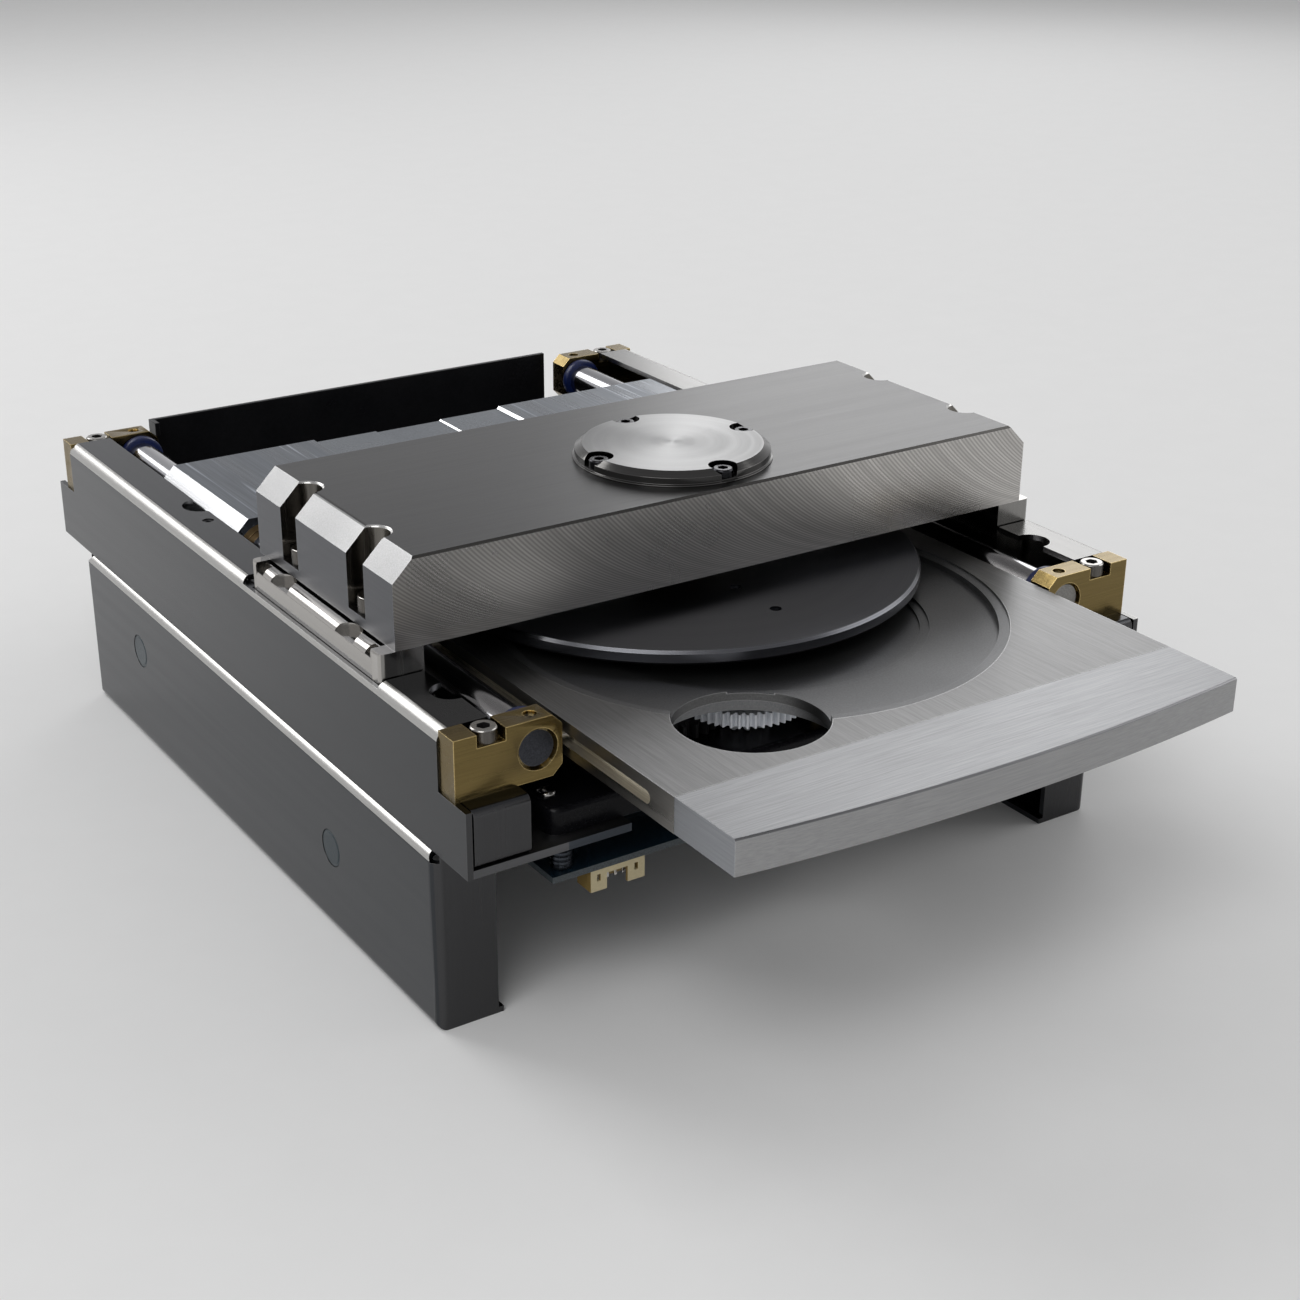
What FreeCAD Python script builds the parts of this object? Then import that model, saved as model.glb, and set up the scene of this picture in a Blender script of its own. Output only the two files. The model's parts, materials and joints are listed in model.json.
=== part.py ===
"""Disc transport with a sliding tray, an overhead turntable and a lift deck.

Millimetres, +Z up, +Y to the rear, +X to the right seen from the front.
The origin lies in the plane of the feet, midway between the four base bolt holes.
The tray stands partly out, with its disc recess in front of the spindle.
"""

import FreeCAD, Part
import math
import os

V = FreeCAD.Vector
X_AXIS = V(1, 0, 0)
Y_AXIS = V(0, 1, 0)
Z_AXIS = V(0, 0, 1)
ORIGIN = V(0, 0, 0)

# Fits, each a clearance on one side
running_gap = 0.03
slide_gap = 0.3
tooth_gap = 0.06

# Folded sheet
sheet = 1.5
bend_r = 2.5
rail_bend_r = 3.2

# Lower side plates
plate_length = 220.0
plate_height = 46.0
plate_over_rail = 1.4
end_flange = 15.7
foot_flange = 17.0
head_flange = 14.0
corner_relief = 1.6
relief_r = 1.5
relief_depth = 2.2
relief_slit = 0.4
bolt_inset = 9.0
bolt_spacing_y = 180.0
bolt_hole_r = 2.25

# Clinch studs: distance from the plate's rear end and height
stud_head_r = 4.9
stud_shank_r = 2.0
stud_length = 7.0
rear_stud_back = 40.8
rear_stud_z = 29.05
front_stud_back = 165.9
front_stud_z = 23.0

# Base plate and upper rails
base_sheet = 2.0
rail_over_block = 0.5
rail_front_y = -123.5
rail_length = 254.75
rail_rise = 31.2
rail_flange = 12.6
front_notch_inset = 13.6
front_notch_depth = 30.0
notch_corner_r = 3.0
rail_screw_front = 6.0
rail_screw_back = 24.0
rail_screw_inset = 1.0
rail_floor_gap = 1.0
rail_window_front = 0.5
rail_window_back = 1.7
rail_window_gap = 0.2
rail_bite_front = 41.3
rail_bite_front_r = 4.8
rail_bite_back = 102.5
rail_bite_back_r = 5.6
rail_hole_inset = 3.0
rail_hole_back = 90.0

# Spindle line, bridge and bridge bases
spindle_y = -53.65
bridge_inset = 5.6
bridge_front = 28.3
bridge_back = 45.6
bridge_height = 21.9
bridge_chamfer_x = 5.6
bridge_chamfer_z = 5.5
bridge_edge = 0.6
slot_r = 4.4
slot_inset = 4.7
slot_floor = 2.7
slot_offsets = (-9.3, 26.9)
bridge_screw_r = 2.5
bridge_screw_head_r = 4.1
bridge_screw_head = 4.0
bridge_screw_depth = 9.0
block_pillar_width = 11.1
block_pillar_gap = 0.2
block_back = 42.65
block_front = 28.25
block_top_round = 3.0
block_skirt = 5.4
block_corner_r = 1.6
pad_height = 0.67
pad_front = 4.8
pad_back = 3.0
pad_groove = 3.4
pad_edge = 0.7
block_scoop_r = 4.8
block_scoop_depth = 1.8
rail_relief_r = 3.1

# Turntable, spindle and motor
turntable_r = 64.1
turntable_thick = 3.55
turntable_lift = 0.57
rim_chamfer = 0.7
hub_r = 12.0
hub_height = 2.2
recess_r = 9.0
recess_depth = 1.4
turntable_hole_r = 1.5
turntable_hole_circles = (28.5, 45.2)
spindle_r = 4.0
motor_bore_r = 18.0
bearing_height = 5.0
bearing_flange = 2.2
rotor_r = 11.5
stator_inner_r = 12.2
motor_length = 9.0
retainer_r = 5.5
cap_r = 24.9
cap_top_r = 23.0
cap_height = 3.54
cap_notch_r = 3.4
cap_screw_circle = 22.0
cap_screw_r = 1.5
cap_screw_head_r = 2.6
cap_screw_head = 2.6
cap_screw_depth = 8.0

# Guide shafts, their blocks and collars
shaft_offset = 7.3
shaft_r = 5.0
shaft_end_chamfer = 0.6
ledge_z = 62.3
shaft_over_ledge = 7.5
block_over_tray = 1.1
block_width = 27.0
block_thick = 6.8
block_setback = 5.5
block_height = 14.85
block_chamfer = 2.5
notch_inset = 9.25
notch_half = 3.55
notch_depth = 3.15
clamp_screw_head_r = 3.1
clamp_screw_head = 3.3
clamp_screw_r = 1.5
set_screw_r = 1.6
set_screw_hex = 0.8
set_screw_sink = 0.9
rail_set_sink = 0.4
collar_r = 6.7
collar_thick = 3.0
bracket_width = 14.2
bracket_gap = 0.4
bracket_bend = 0.3
bracket_depth = 26.0
guide_pin_r = 1.4
guide_pin_length = 3.3

# Tray, measured from the centre of its disc recess
tray_out = 34.9
tray_open_travel = 53.0
tray_half_width = 71.0
tray_thick = 8.58
tray_top_over_ledge = 12.33
tray_edge = 0.7
band_joint = 71.6
band_side_length = 21.4
bow = 4.4
seam_back = 116.4
disc_r = 63.4
disc_floor_r = 60.75
disc_step = 0.45
disc_depth = 2.0
small_disc_r = 44.0
small_floor_r = 41.7
small_disc_depth = 1.0
spindle_hole_r = 17.0
slot_half = 16.0
slot_back = 67.0
finger_x = -35.5
finger_front = 49.3
finger_r = 17.9
finger_pocket_r = 21.5
finger_pocket_depth = 4.1
groove_front = 62.7
groove_back = 32.0
groove_z = 4.1
groove_half = 1.55
groove_depth = 2.5

# Tray carriage
bar_over_shaft = 7.2
bar_length = 52.8
bar_height = 16.0
bar_over_ledge = 0.3
bar_chamfer = 3.5
carriage_skin = 3.97
carriage_bow_r = 65.6
bush_r = 6.8
bush_length = 14.0
step_edges = (-38.0, -17.5, 4.2, 24.6)
step_drops = (0.85, 1.25, 0.8)
tray_screw_inset = 11.0
tray_screw_inner = 20.0
tray_screw_back = 12.0
tray_screw_sink = 0.3

# Loading drive
rack_module = 1.0
rack_inset = 13.0
rack_width = 8.0
rack_height = 7.0
rack_margin = 4.0
load_pinion_teeth = 16
load_gear_module = 0.8
load_gear_teeth = 40
motor_pinion_teeth = 10
load_front = 50.0
load_web = 3.0
load_motor_angle = 180.0

# Lift drive
cam_travel = 20.0
lift_travel = 10.0
cam_module = 1.0
cam_gear_teeth = 24
cam_gear_x = -28.4
cam_gear_front = 40.7
step_pinion_teeth = 12
step_angle = -32.5
lift_module = 0.6
lift_gear_teeth = 50
lift_pinion_teeth = 12
lift_motor_angle = -20.0
gear_web = 3.6
cam_wall = 5.45
cam_height = 17.0
cam_pin_x = 25.0
cam_pin_r = 1.5
cam_pin_over_base = 3.5
cam_end = 9.0

# Loader frame, motors and circuit board
frame_front = 66.0
frame_over_tray = 5.5
frame_height = 6.5
frame_skin = 3.0
frame_wall = 2.5
frame_corner_r = 3.5
frame_top_round = 1.8
frame_back_gap = 0.8
frame_screw_front = 57.5
frame_screw_inset = 4.1
frame_screw_step = 3.0
frame_screw_back = 36.0
screw_head_r = 2.3
screw_head = 1.3
screw_shank_r = 1.25
motor_r = 7.5
motor_can = 15.0
motor_shaft_r = 1.0
gear_post_r = 1.5
board_top_gap = 8.4
board_thick = 1.6
board_inset = 0.5
board_width = 70.0
board_depth = 42.0
standoff_r = 2.6
standoff_front = 62.0
standoff_left = 4.6
standoff_right = 6.0
board_screw_r = 1.2
chip_left = 26.0
chip_front = 16.0
chip_side = 12.0
chip_height = 1.8
driver_left = 46.0
driver_front = 24.0
driver_width = 10.0
driver_depth = 7.0
driver_height = 1.5
connector_left = 10.0
connector_width = 14.7
connector_height = 5.5
connector_depth = 6.0
connector_wall = 0.9
connector_pins = 6
connector_gap_left = 0.30
connector_gap_right = 0.68
connector_lip = 1.4
connector_slit = 0.45
pin_half = 0.32

# Lift deck and what rides on it
deck_thick = 3.0
deck_over_base = 2.0
deck_half_width = 50.0
deck_front = 21.5
deck_back = 78.0
deck_hole_left = -26.0
deck_hole_right = 37.0
deck_hole_front = 10.0
deck_hole_back = 72.0
post_r = 2.0
post_top = 65.0
post_x = 45.0
post_front = -12.0
post_back = 62.0
post_boss_r = 4.0
post_boss = 2.5
clamper_r = 14.0
clamper_thick = 2.5
clamper_top = 64.0
cone_r = 7.4
cone_height = 1.1
cone_chamfer = 1.2
clamper_shaft_r = 3.0
clamper_bearing_r = 7.0
sled_shaft_x = 22.0
sled_shaft_r = 1.5
sled_shaft_over_deck = 0.5
sled_half_width = 18.0
sled_length = 24.0
sled_height = 6.5
sled_ear = 6.0
lens_radius = 24.0
lens_travel_out = 34.0
lens_travel_in = 2.0
lens_r = 4.0
lens_top = 62.2
lens_ring = 0.9
lens_turret = 1.2
screw_x = 32.0
screw_r = 1.5
screw_core_r = 1.1
screw_pitch = 3.0
sled_motor_r = 3.4
sled_motor_length = 12.0

# Rear panel
panel_height = 29.3
panel_inset = 0.5
panel_tip = 4.0
panel_setback = 0.9
panel_foot = 12.0

# Levels and lines worked out from the sizes above
shaft_x = tray_half_width + shaft_offset
block_inner_x = tray_half_width + block_over_tray
block_outer_x = block_inner_x + block_width
notch_x = block_outer_x - notch_inset
rail_half_width = block_outer_x + rail_over_block
plate_half_width = rail_half_width + plate_over_rail
bolt_spacing_x = 2 * (plate_half_width - bolt_inset)
front_notch_half = tray_half_width - front_notch_inset
bridge_half_width = rail_half_width - bridge_inset
slot_center_x = bridge_half_width - slot_inset
bar_outer_x = shaft_x + bar_over_shaft
rack_line_x = tray_half_width - rack_inset
frame_half_width = tray_half_width + frame_over_tray
frame_screw_x = frame_half_width - frame_screw_inset
board_left_x = board_inset - frame_half_width
board_right_x = board_left_x + board_width
connector_left_x = board_left_x + connector_left
panel_half_width = tray_half_width - panel_inset
base_z = plate_height
deck_z = base_z + base_sheet
rail_top_z = base_z + rail_rise
rail_inner_x = rail_half_width - sheet
bracket_inner_x = rail_inner_x - bracket_gap - bracket_width
block_pillar_out = rail_inner_x - block_pillar_gap
block_head_in = block_pillar_out - block_pillar_width
rail_back_y = rail_front_y + rail_length
shaft_z = ledge_z + shaft_over_ledge
block_top_z = ledge_z + block_height
tray_top_z = ledge_z + tray_top_over_ledge
tray_z = tray_top_z - tray_thick
turntable_z = tray_top_z + turntable_lift
recess_y = spindle_y - tray_out
seam_y = recess_y + seam_back
front_block_y = rail_front_y + block_setback
rear_block_y = rail_back_y - block_setback - block_thick
frame_z = deck_z
frame_top_z = frame_z + frame_height
pads_z = rail_top_z + block_skirt
bridge_z = pads_z + pad_height
bridge_top_z = bridge_z + bridge_height


def box(x0, x1, y0, y1, z0, z1):
    """Block between two limits along each axis."""
    return Part.makeBox(x1 - x0, y1 - y0, z1 - z0, V(x0, y0, z0))


def rod(x, y, z, radius, length, axis=Z_AXIS):
    """Cylinder from a point along an axis."""
    return Part.makeCylinder(radius, length, V(x, y, z), axis)


def ring(x, y, z, outer_r, inner_r, length, axis=Z_AXIS):
    """Tube from a point along an axis."""
    return rod(x, y, z, outer_r, length, axis).cut(rod(x, y, z, inner_r, length, axis))


def mirrored(shape):
    """Copy on the other side of the centre plane."""
    return shape.mirror(ORIGIN, X_AXIS)


def pair(shape):
    """The shape on both sides, as separate solids."""
    return Part.makeCompound([shape, mirrored(shape)])


def joined(shapes):
    """One solid from shapes that touch."""
    return shapes[0].fuse(shapes[1:]).removeSplitter()


def prism(points, direction):
    """Straight-sided solid from a closed outline, pushed along a vector."""
    outline = Part.makePolygon(points + [points[0]])
    return Part.Face(outline).extrude(direction)


def in_box(edge, x=None, y=None, z=None):
    """Whether an edge lies within the given limits of each axis."""
    b = edge.BoundBox
    spans = ((x, b.XMin, b.XMax), (y, b.YMin, b.YMax), (z, b.ZMin, b.ZMax))
    slack = 1e-3
    return all(s is None or (low >= s[0] - slack and high <= s[1] + slack) for s, low, high in spans)


def edges(shape, **limits):
    """The edges of a shape that lie within limits."""
    return [e for e in shape.Edges if in_box(e, **limits)]


def corner_arc(before, corner, after, radius):
    """Start, middle and end of the arc that rounds a corner."""
    back = (before - corner).normalize()
    ahead = (after - corner).normalize()
    half = back.getAngle(ahead) / 2
    reach = radius / math.tan(half)
    middle = (back + ahead).normalize()
    center = corner + middle * (radius / math.sin(half))
    return corner + back * reach, center - middle * radius, corner + ahead * reach


def rounded_path(points, radii):
    """Edges of an open path with a rounded bend at each inner point."""
    parts = []
    last = points[0]
    for before, corner, after, radius in zip(points, points[1:], points[2:], radii):
        start, middle, end = corner_arc(before, corner, after, radius)
        parts.append(Part.LineSegment(last, start).toShape())
        parts.append(Part.Arc(start, middle, end).toShape())
        last = end
    parts.append(Part.LineSegment(last, points[-1]).toShape())
    return parts


def folded(outer, inner, radius, direction):
    """Folded sheet between an outer and an inner path, pushed along a vector."""
    outer_edges = rounded_path(outer, [radius] * (len(outer) - 2))
    inner_edges = rounded_path(inner, [radius - sheet] * (len(inner) - 2))
    ends = [Part.LineSegment(outer[k], inner[k]).toShape() for k in (0, -1)]
    wire = Part.Wire(Part.__sortEdges__(outer_edges + inner_edges + ends))
    return Part.Face(wire).extrude(direction)


def involute(angle):
    """Involute function of a pressure angle."""
    return math.tan(angle) - angle


def gear(module, teeth, x, y, z, height, phase):
    """Spur gear with a tooth centred on the phase angle."""
    pitch_r = module * teeth / 2
    pressure = math.radians(20)
    base_r = pitch_r * math.cos(pressure)
    root_r = pitch_r - 1.25 * module
    tip_r = pitch_r + 0.9 * module
    half_tooth = (math.pi * module / 2 - 2 * tooth_gap) / 2 / pitch_r
    flank = []
    for r in (root_r, max(base_r, root_r + 0.1 * module), pitch_r, tip_r):
        lean = math.acos(min(1.0, base_r / r))
        flank.append((r, half_tooth + involute(pressure) - involute(lean)))
    points = []
    for k in range(teeth):
        middle = math.radians(phase) + 2 * math.pi * k / teeth
        for side, rows in ((-1, flank), (1, flank[::-1])):
            for r, half in rows:
                a = middle + side * half
                points.append(V(x + r * math.cos(a), y + r * math.sin(a), z))
    return prism(points, V(0, 0, height))


def rack_teeth(module, first, last, gap_at):
    """Outline of rack teeth from first to last, as pairs of place and height, with a gap at gap_at."""
    pitch = math.pi * module
    half = pitch / 4 - tooth_gap
    lean = math.tan(math.radians(20))
    top = 0.9 * module
    root = 1.25 * module
    outline = []
    count = int((last - first) / pitch) + 2
    start = gap_at + pitch / 2 + math.floor((first - gap_at) / pitch) * pitch
    for k in range(count):
        middle = start + k * pitch
        if middle - pitch / 2 < first or middle + pitch / 2 > last:
            continue
        outline.append((middle - half - root * lean, -root))
        outline.append((middle - half + top * lean, top))
        outline.append((middle + half - top * lean, top))
        outline.append((middle + half + root * lean, -root))
    return outline


def mesh_phase(phase, teeth, line_angle, next_teeth):
    """Tooth angle of the next gear, in mesh with a gear whose tooth angle is phase."""
    pitch = 360.0 / teeth
    offset = (phase - line_angle + pitch / 2) % pitch - pitch / 2
    gap = line_angle + 180 - offset * teeth / next_teeth
    return gap + 180.0 / next_teeth


def around(x, y, distance, angle):
    """Point at a distance and an angle from a centre."""
    a = math.radians(angle)
    return x + distance * math.cos(a), y + distance * math.sin(a)


def pan_screw(x, y, z, depth):
    """Pan-head screw with its head on the face at z."""
    head = rod(x, y, z, screw_head_r, screw_head)
    head = head.makeChamfer(0.4, edges(head, z=(z + screw_head, z + screw_head)))
    slot = box(x - 1.5, x + 1.5, y - 0.25, y + 0.25, z + 0.6, z + screw_head)
    cross = box(x - 0.25, x + 0.25, y - 1.5, y + 1.5, z + 0.6, z + screw_head)
    return head.cut([slot, cross]).fuse(rod(x, y, z - depth, screw_shank_r, depth)).removeSplitter()


def socket_screw(x, y, z, head_r, head, shank_r, depth):
    """Socket cap screw with its head on the face at z."""
    body = rod(x, y, z, head_r, head)
    body = body.makeChamfer(0.35, edges(body, z=(z + head, z + head)))
    hex_r = head_r * 0.52
    points = [V(x + hex_r * math.cos(k * math.pi / 3), y + hex_r * math.sin(k * math.pi / 3), z + head * 0.45)
              for k in range(6)]
    body = body.cut(prism(points, V(0, 0, head)))
    return body.fuse(rod(x, y, z - depth, shank_r, depth)).removeSplitter()


def lower_side_plate():
    """Right side plate with its four flanges, top corner reliefs, bolt holes and stud holes."""
    half = plate_length / 2
    out = plate_half_width
    head = out - head_flange
    foot = out - foot_flange
    inner = out - end_flange
    top = plate_height
    plate = box(foot, out, -half, half, 0, top)
    plate = plate.makeFillet(bend_r, edges(plate, x=(out, out)))
    hollow = box(foot - sheet, out - sheet, -half + sheet, half - sheet, sheet, top - sheet)
    hollow = hollow.makeFillet(bend_r - sheet, edges(hollow, x=(out - sheet, out - sheet)))
    cuts = [hollow, box(foot, head, -half + sheet, half - sheet, top - sheet, top)]
    for side in (-1, 1):
        edge, flange, slit = side * half, side * (half - sheet), side * (half - sheet - relief_slit)
        cuts.append(box(foot, inner, min(edge, flange), max(edge, flange), sheet, top))
        cuts.append(box(foot, out - corner_relief, min(flange, slit), max(flange, slit), top - sheet, top))
        cuts.append(rod(out - corner_relief, side * (half - corner_relief), top - relief_depth, relief_r,
                        relief_depth))
        cuts.append(rod(bolt_spacing_x / 2, side * bolt_spacing_y / 2, 0, bolt_hole_r, sheet))
    for y, z in stud_places():
        cuts.append(rod(out - sheet, y, z, stud_head_r, sheet, X_AXIS))
    return plate.cut(cuts)


def stud_places():
    """Place along Y and height of the clinch studs."""
    rear = plate_length / 2
    return ((rear - rear_stud_back, rear_stud_z), (rear - front_stud_back, front_stud_z))


def clinch_studs():
    """Studs pressed flush into both side plates."""
    studs = []
    for y, z in stud_places():
        head = rod(plate_half_width - sheet, y, z, stud_head_r, sheet, X_AXIS)
        shank = rod(plate_half_width - stud_length, y, z, stud_shank_r, stud_length - sheet, X_AXIS)
        stud = joined([head, shank])
        studs += [stud, mirrored(stud)]
    return Part.makeCompound(studs)


def base_plate():
    """Flat plate between the rails, open at the front for the drive."""
    plate = box(-rail_inner_x, rail_inner_x, rail_front_y, rail_back_y, base_z, deck_z)
    notch = box(-front_notch_half, front_notch_half, rail_front_y, rail_front_y + front_notch_depth,
                base_z, deck_z)
    corners = [e for e in notch.Edges if e.BoundBox.ZLength > 1 and e.BoundBox.YMin > rail_front_y + 1]
    notch = notch.makeFillet(notch_corner_r, corners)
    holes = [rod(x, y, base_z, post_r, base_sheet) for x, y in post_places()]
    holes += [rod(x, y, base_z, screw_shank_r, base_sheet) for x, y in frame_screw_places()]
    holes += [rod(s * rail_screw_x(), y, base_z, screw_shank_r, base_sheet)
              for s in (-1, 1) for y in rail_screw_ys()]
    return plate.cut([notch] + holes)


def rail_screw_x():
    """Distance of the rail screws from the centre plane."""
    return rail_half_width - sheet - rail_flange / 2 + rail_screw_inset


def rail_screw_ys():
    """Places of the rail screws along Y."""
    return (spindle_y - block_front - rail_screw_front, rear_block_y - rail_screw_back)


def upper_rail():
    """Right folded rail with its stepped ends, bridge opening and flange cuts."""
    out = rail_half_width
    tip = out - rail_flange
    length = V(0, rail_length, 0)
    rail = folded(
        [V(tip, rail_front_y, rail_top_z), V(out, rail_front_y, rail_top_z), V(out, rail_front_y, base_z)],
        [V(tip, rail_front_y, rail_top_z - sheet), V(out - sheet, rail_front_y, rail_top_z - sheet),
         V(out - sheet, rail_front_y, base_z)],
        rail_bend_r, length)
    floor_inset = bracket_depth + rail_floor_gap
    floor = box(tip, out - sheet, rail_front_y + floor_inset, rail_back_y - floor_inset, deck_z, deck_z + sheet)
    rail = joined([rail, floor])
    cuts = []
    for low, high in ((rail_front_y, front_block_y + block_thick), (rear_block_y, rail_back_y)):
        cuts.append(box(tip, out, low, high, ledge_z, rail_top_z))
    window_front = spindle_y - block_front - rail_window_front
    window_back = spindle_y + block_back + rail_window_back
    window = box(tip, out, window_front, window_back, rail_top_z - sheet, rail_top_z)
    shelf = box(tip, out - sheet, spindle_y - block_front - rail_window_gap,
                spindle_y + block_back + rail_window_gap, deck_z, rail_top_z)
    cuts += [window, shelf]
    through_z = rail_top_z - 2 * sheet
    through = 3 * sheet
    cuts.append(rod(out - rail_relief_r, window_back, rail_top_z - sheet, rail_relief_r, sheet))
    cuts.append(rod(tip + 0.2, spindle_y - rail_bite_front, through_z, rail_bite_front_r, through))
    cuts.append(rod(tip - 0.6, spindle_y + rail_bite_back, through_z, rail_bite_back_r, through))
    cuts.append(rod(rail_hole_x(), spindle_y + rail_hole_back, through_z, set_screw_r, through))
    cuts += [rod(rail_screw_x(), y, deck_z, screw_shank_r, sheet) for y in rail_screw_ys()]
    return rail.cut(cuts)


def rail_hole_x():
    """Distance of the rail's tapped hole from the centre plane."""
    return rail_half_width - rail_flange + rail_hole_inset


def bracket_section(front, back):
    """Corner bracket folded as a channel that opens away from its closed end."""
    turn = 1 if back > front else -1
    top, low = ledge_z, deck_z
    outer = [V(bracket_inner_x, back, low), V(bracket_inner_x, front, low),
             V(bracket_inner_x, front, top), V(bracket_inner_x, back, top)]
    inner = [V(bracket_inner_x, back, low + sheet), V(bracket_inner_x, front + turn * sheet, low + sheet),
             V(bracket_inner_x, front + turn * sheet, top - sheet), V(bracket_inner_x, back, top - sheet)]
    bracket = folded(outer, inner, sheet + bracket_bend, V(bracket_width, 0, 0))
    middle = (front_block_y if turn > 0 else rear_block_y) + block_thick / 2
    return bracket.cut(rod(notch_x, middle, top - sheet, clamp_screw_r, sheet))


def front_bracket():
    """Front right corner bracket."""
    return bracket_section(rail_front_y, rail_front_y + bracket_depth)


def rear_bracket():
    """Rear right corner bracket."""
    return bracket_section(rail_back_y, rail_back_y - bracket_depth)


def shaft_block(y, pin_side):
    """Right brass block that holds a guide shaft; y is its front face."""
    x0, x1 = block_inner_x, block_outer_x
    c = block_chamfer
    top, low = block_top_z, ledge_z
    outline = [V(x0 + c, y, low), V(x1, y, low), V(x1, y, top), V(x0 + c, y, top), V(x0, y, top - c),
               V(x0, y, low + c)]
    block = prism(outline, V(0, block_thick, 0))
    middle = y + block_thick / 2
    cuts = [
        rod(shaft_x, y, shaft_z, shaft_r, block_thick, Y_AXIS),
        box(notch_x - notch_half, notch_x + notch_half, y, y + block_thick, top - notch_depth, top),
        rod(notch_x, middle, low, clamp_screw_r, block_height),
        rod(shaft_x, middle, shaft_z, set_screw_r, block_height),
    ]
    if pin_side:
        cuts.append(rod(x0, middle, guide_pin_z(), guide_pin_r, pin_seat(), X_AXIS))
    return block.cut(cuts)


def guide_pin_z():
    """Height of the tray guide pins."""
    return tray_z + groove_z


def pin_seat():
    """Depth of the guide pin's seat in its block."""
    return shaft_x - shaft_r - block_inner_x - 0.2


def guide_pins():
    """Pins in the front blocks that run in the tray's side grooves."""
    x0 = block_inner_x - guide_pin_length
    pin = rod(x0, front_block_y + block_thick / 2, guide_pin_z(), guide_pin_r,
              guide_pin_length + pin_seat(), X_AXIS)
    return pair(pin)


def guide_shaft():
    """Right guide shaft with chamfered ends."""
    y0 = front_block_y + 0.8
    y1 = rear_block_y + block_thick - 0.8
    shaft = rod(shaft_x, y0, shaft_z, shaft_r, y1 - y0, Y_AXIS)
    ends = edges(shaft, y=(y0, y0)) + edges(shaft, y=(y1, y1))
    return shaft.makeChamfer(shaft_end_chamfer, ends)


def bumper_collars():
    """Soft collars on the shafts against each block."""
    collars = []
    for y in (front_block_y + block_thick, rear_block_y - collar_thick):
        collar = ring(shaft_x, y, shaft_z, collar_r, shaft_r, collar_thick, Y_AXIS)
        face = y + collar_thick if y < 0 else y
        collar = collar.makeChamfer(0.5, [e for e in edges(collar, y=(face, face))
                                          if e.BoundBox.XLength > 2 * shaft_r + 0.5])
        collars += [collar, mirrored(collar)]
    return Part.makeCompound(collars)


def clamp_screws():
    """Cap screws that hold the four shaft blocks on the rails."""
    screws = []
    for y in (front_block_y, rear_block_y):
        screw = socket_screw(notch_x, y + block_thick / 2, block_top_z - notch_depth, clamp_screw_head_r,
                             clamp_screw_head, clamp_screw_r, block_height - notch_depth + sheet)
        screws += [screw, mirrored(screw)]
    return Part.makeCompound(screws)


def set_screws():
    """Grub screws over the shafts and in the rail flanges."""
    screws = []
    depth = block_top_z - set_screw_sink - shaft_z - shaft_r
    places = [(shaft_x, y + block_thick / 2, shaft_z + shaft_r, depth) for y in (front_block_y, rear_block_y)]
    places.append((rail_hole_x(), spindle_y + rail_hole_back, rail_top_z - sheet, sheet - rail_set_sink))
    for x, y, z, height in places:
        screw = rod(x, y, z, set_screw_r, height)
        turns = [k * math.pi / 3 for k in range(6)]
        hexagon = [V(x + set_screw_hex * math.cos(t), y + set_screw_hex * math.sin(t), z + height * 0.4)
                   for t in turns]
        screw = screw.cut(prism(hexagon, V(0, 0, height)))
        screws += [screw, mirrored(screw)]
    return Part.makeCompound(screws)


def bridge_base():
    """Right block that carries the bridge on its raised ends, through the opening of the rail."""
    inner, out = block_head_in, block_pillar_out
    front = spindle_y - block_front
    back = spindle_y + block_back
    front_pad = front + pad_front
    back_pad = back - pad_back
    middle = box(inner, out, front_pad, back_pad, deck_z, pads_z)
    middle = middle.makeFillet(block_top_round, edges(middle, x=(out, out), z=(pads_z, pads_z)))
    ends = []
    for low, high, face in ((front, front_pad, front), (back_pad, back, back)):
        end = box(inner, out, low, high, deck_z, bridge_z)
        end = end.makeFillet(block_corner_r, edges(end, x=(out, out), y=(face, face)))
        corner = [V(out - pad_edge, low, bridge_z), V(out, low, bridge_z), V(out, low, bridge_z - pad_edge)]
        ends.append(end.cut(prism(corner, V(0, high - low, 0))))
    block = joined([middle] + ends)
    floor = pads_z - block_scoop_depth
    cuts = []
    for y in (front_pad, back_pad - pad_groove):
        cuts.append(box(out - block_top_round, out, y, y + pad_groove, floor, pads_z))
    for offset in slot_offsets:
        y = spindle_y + offset
        cuts.append(rod(out, y, floor, block_scoop_r, block_scoop_depth))
        cuts.append(rod(slot_center_x, y, pads_z - bridge_screw_depth + 1.0, bridge_screw_r, bridge_screw_depth))
    return block.cut(cuts)


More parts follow.
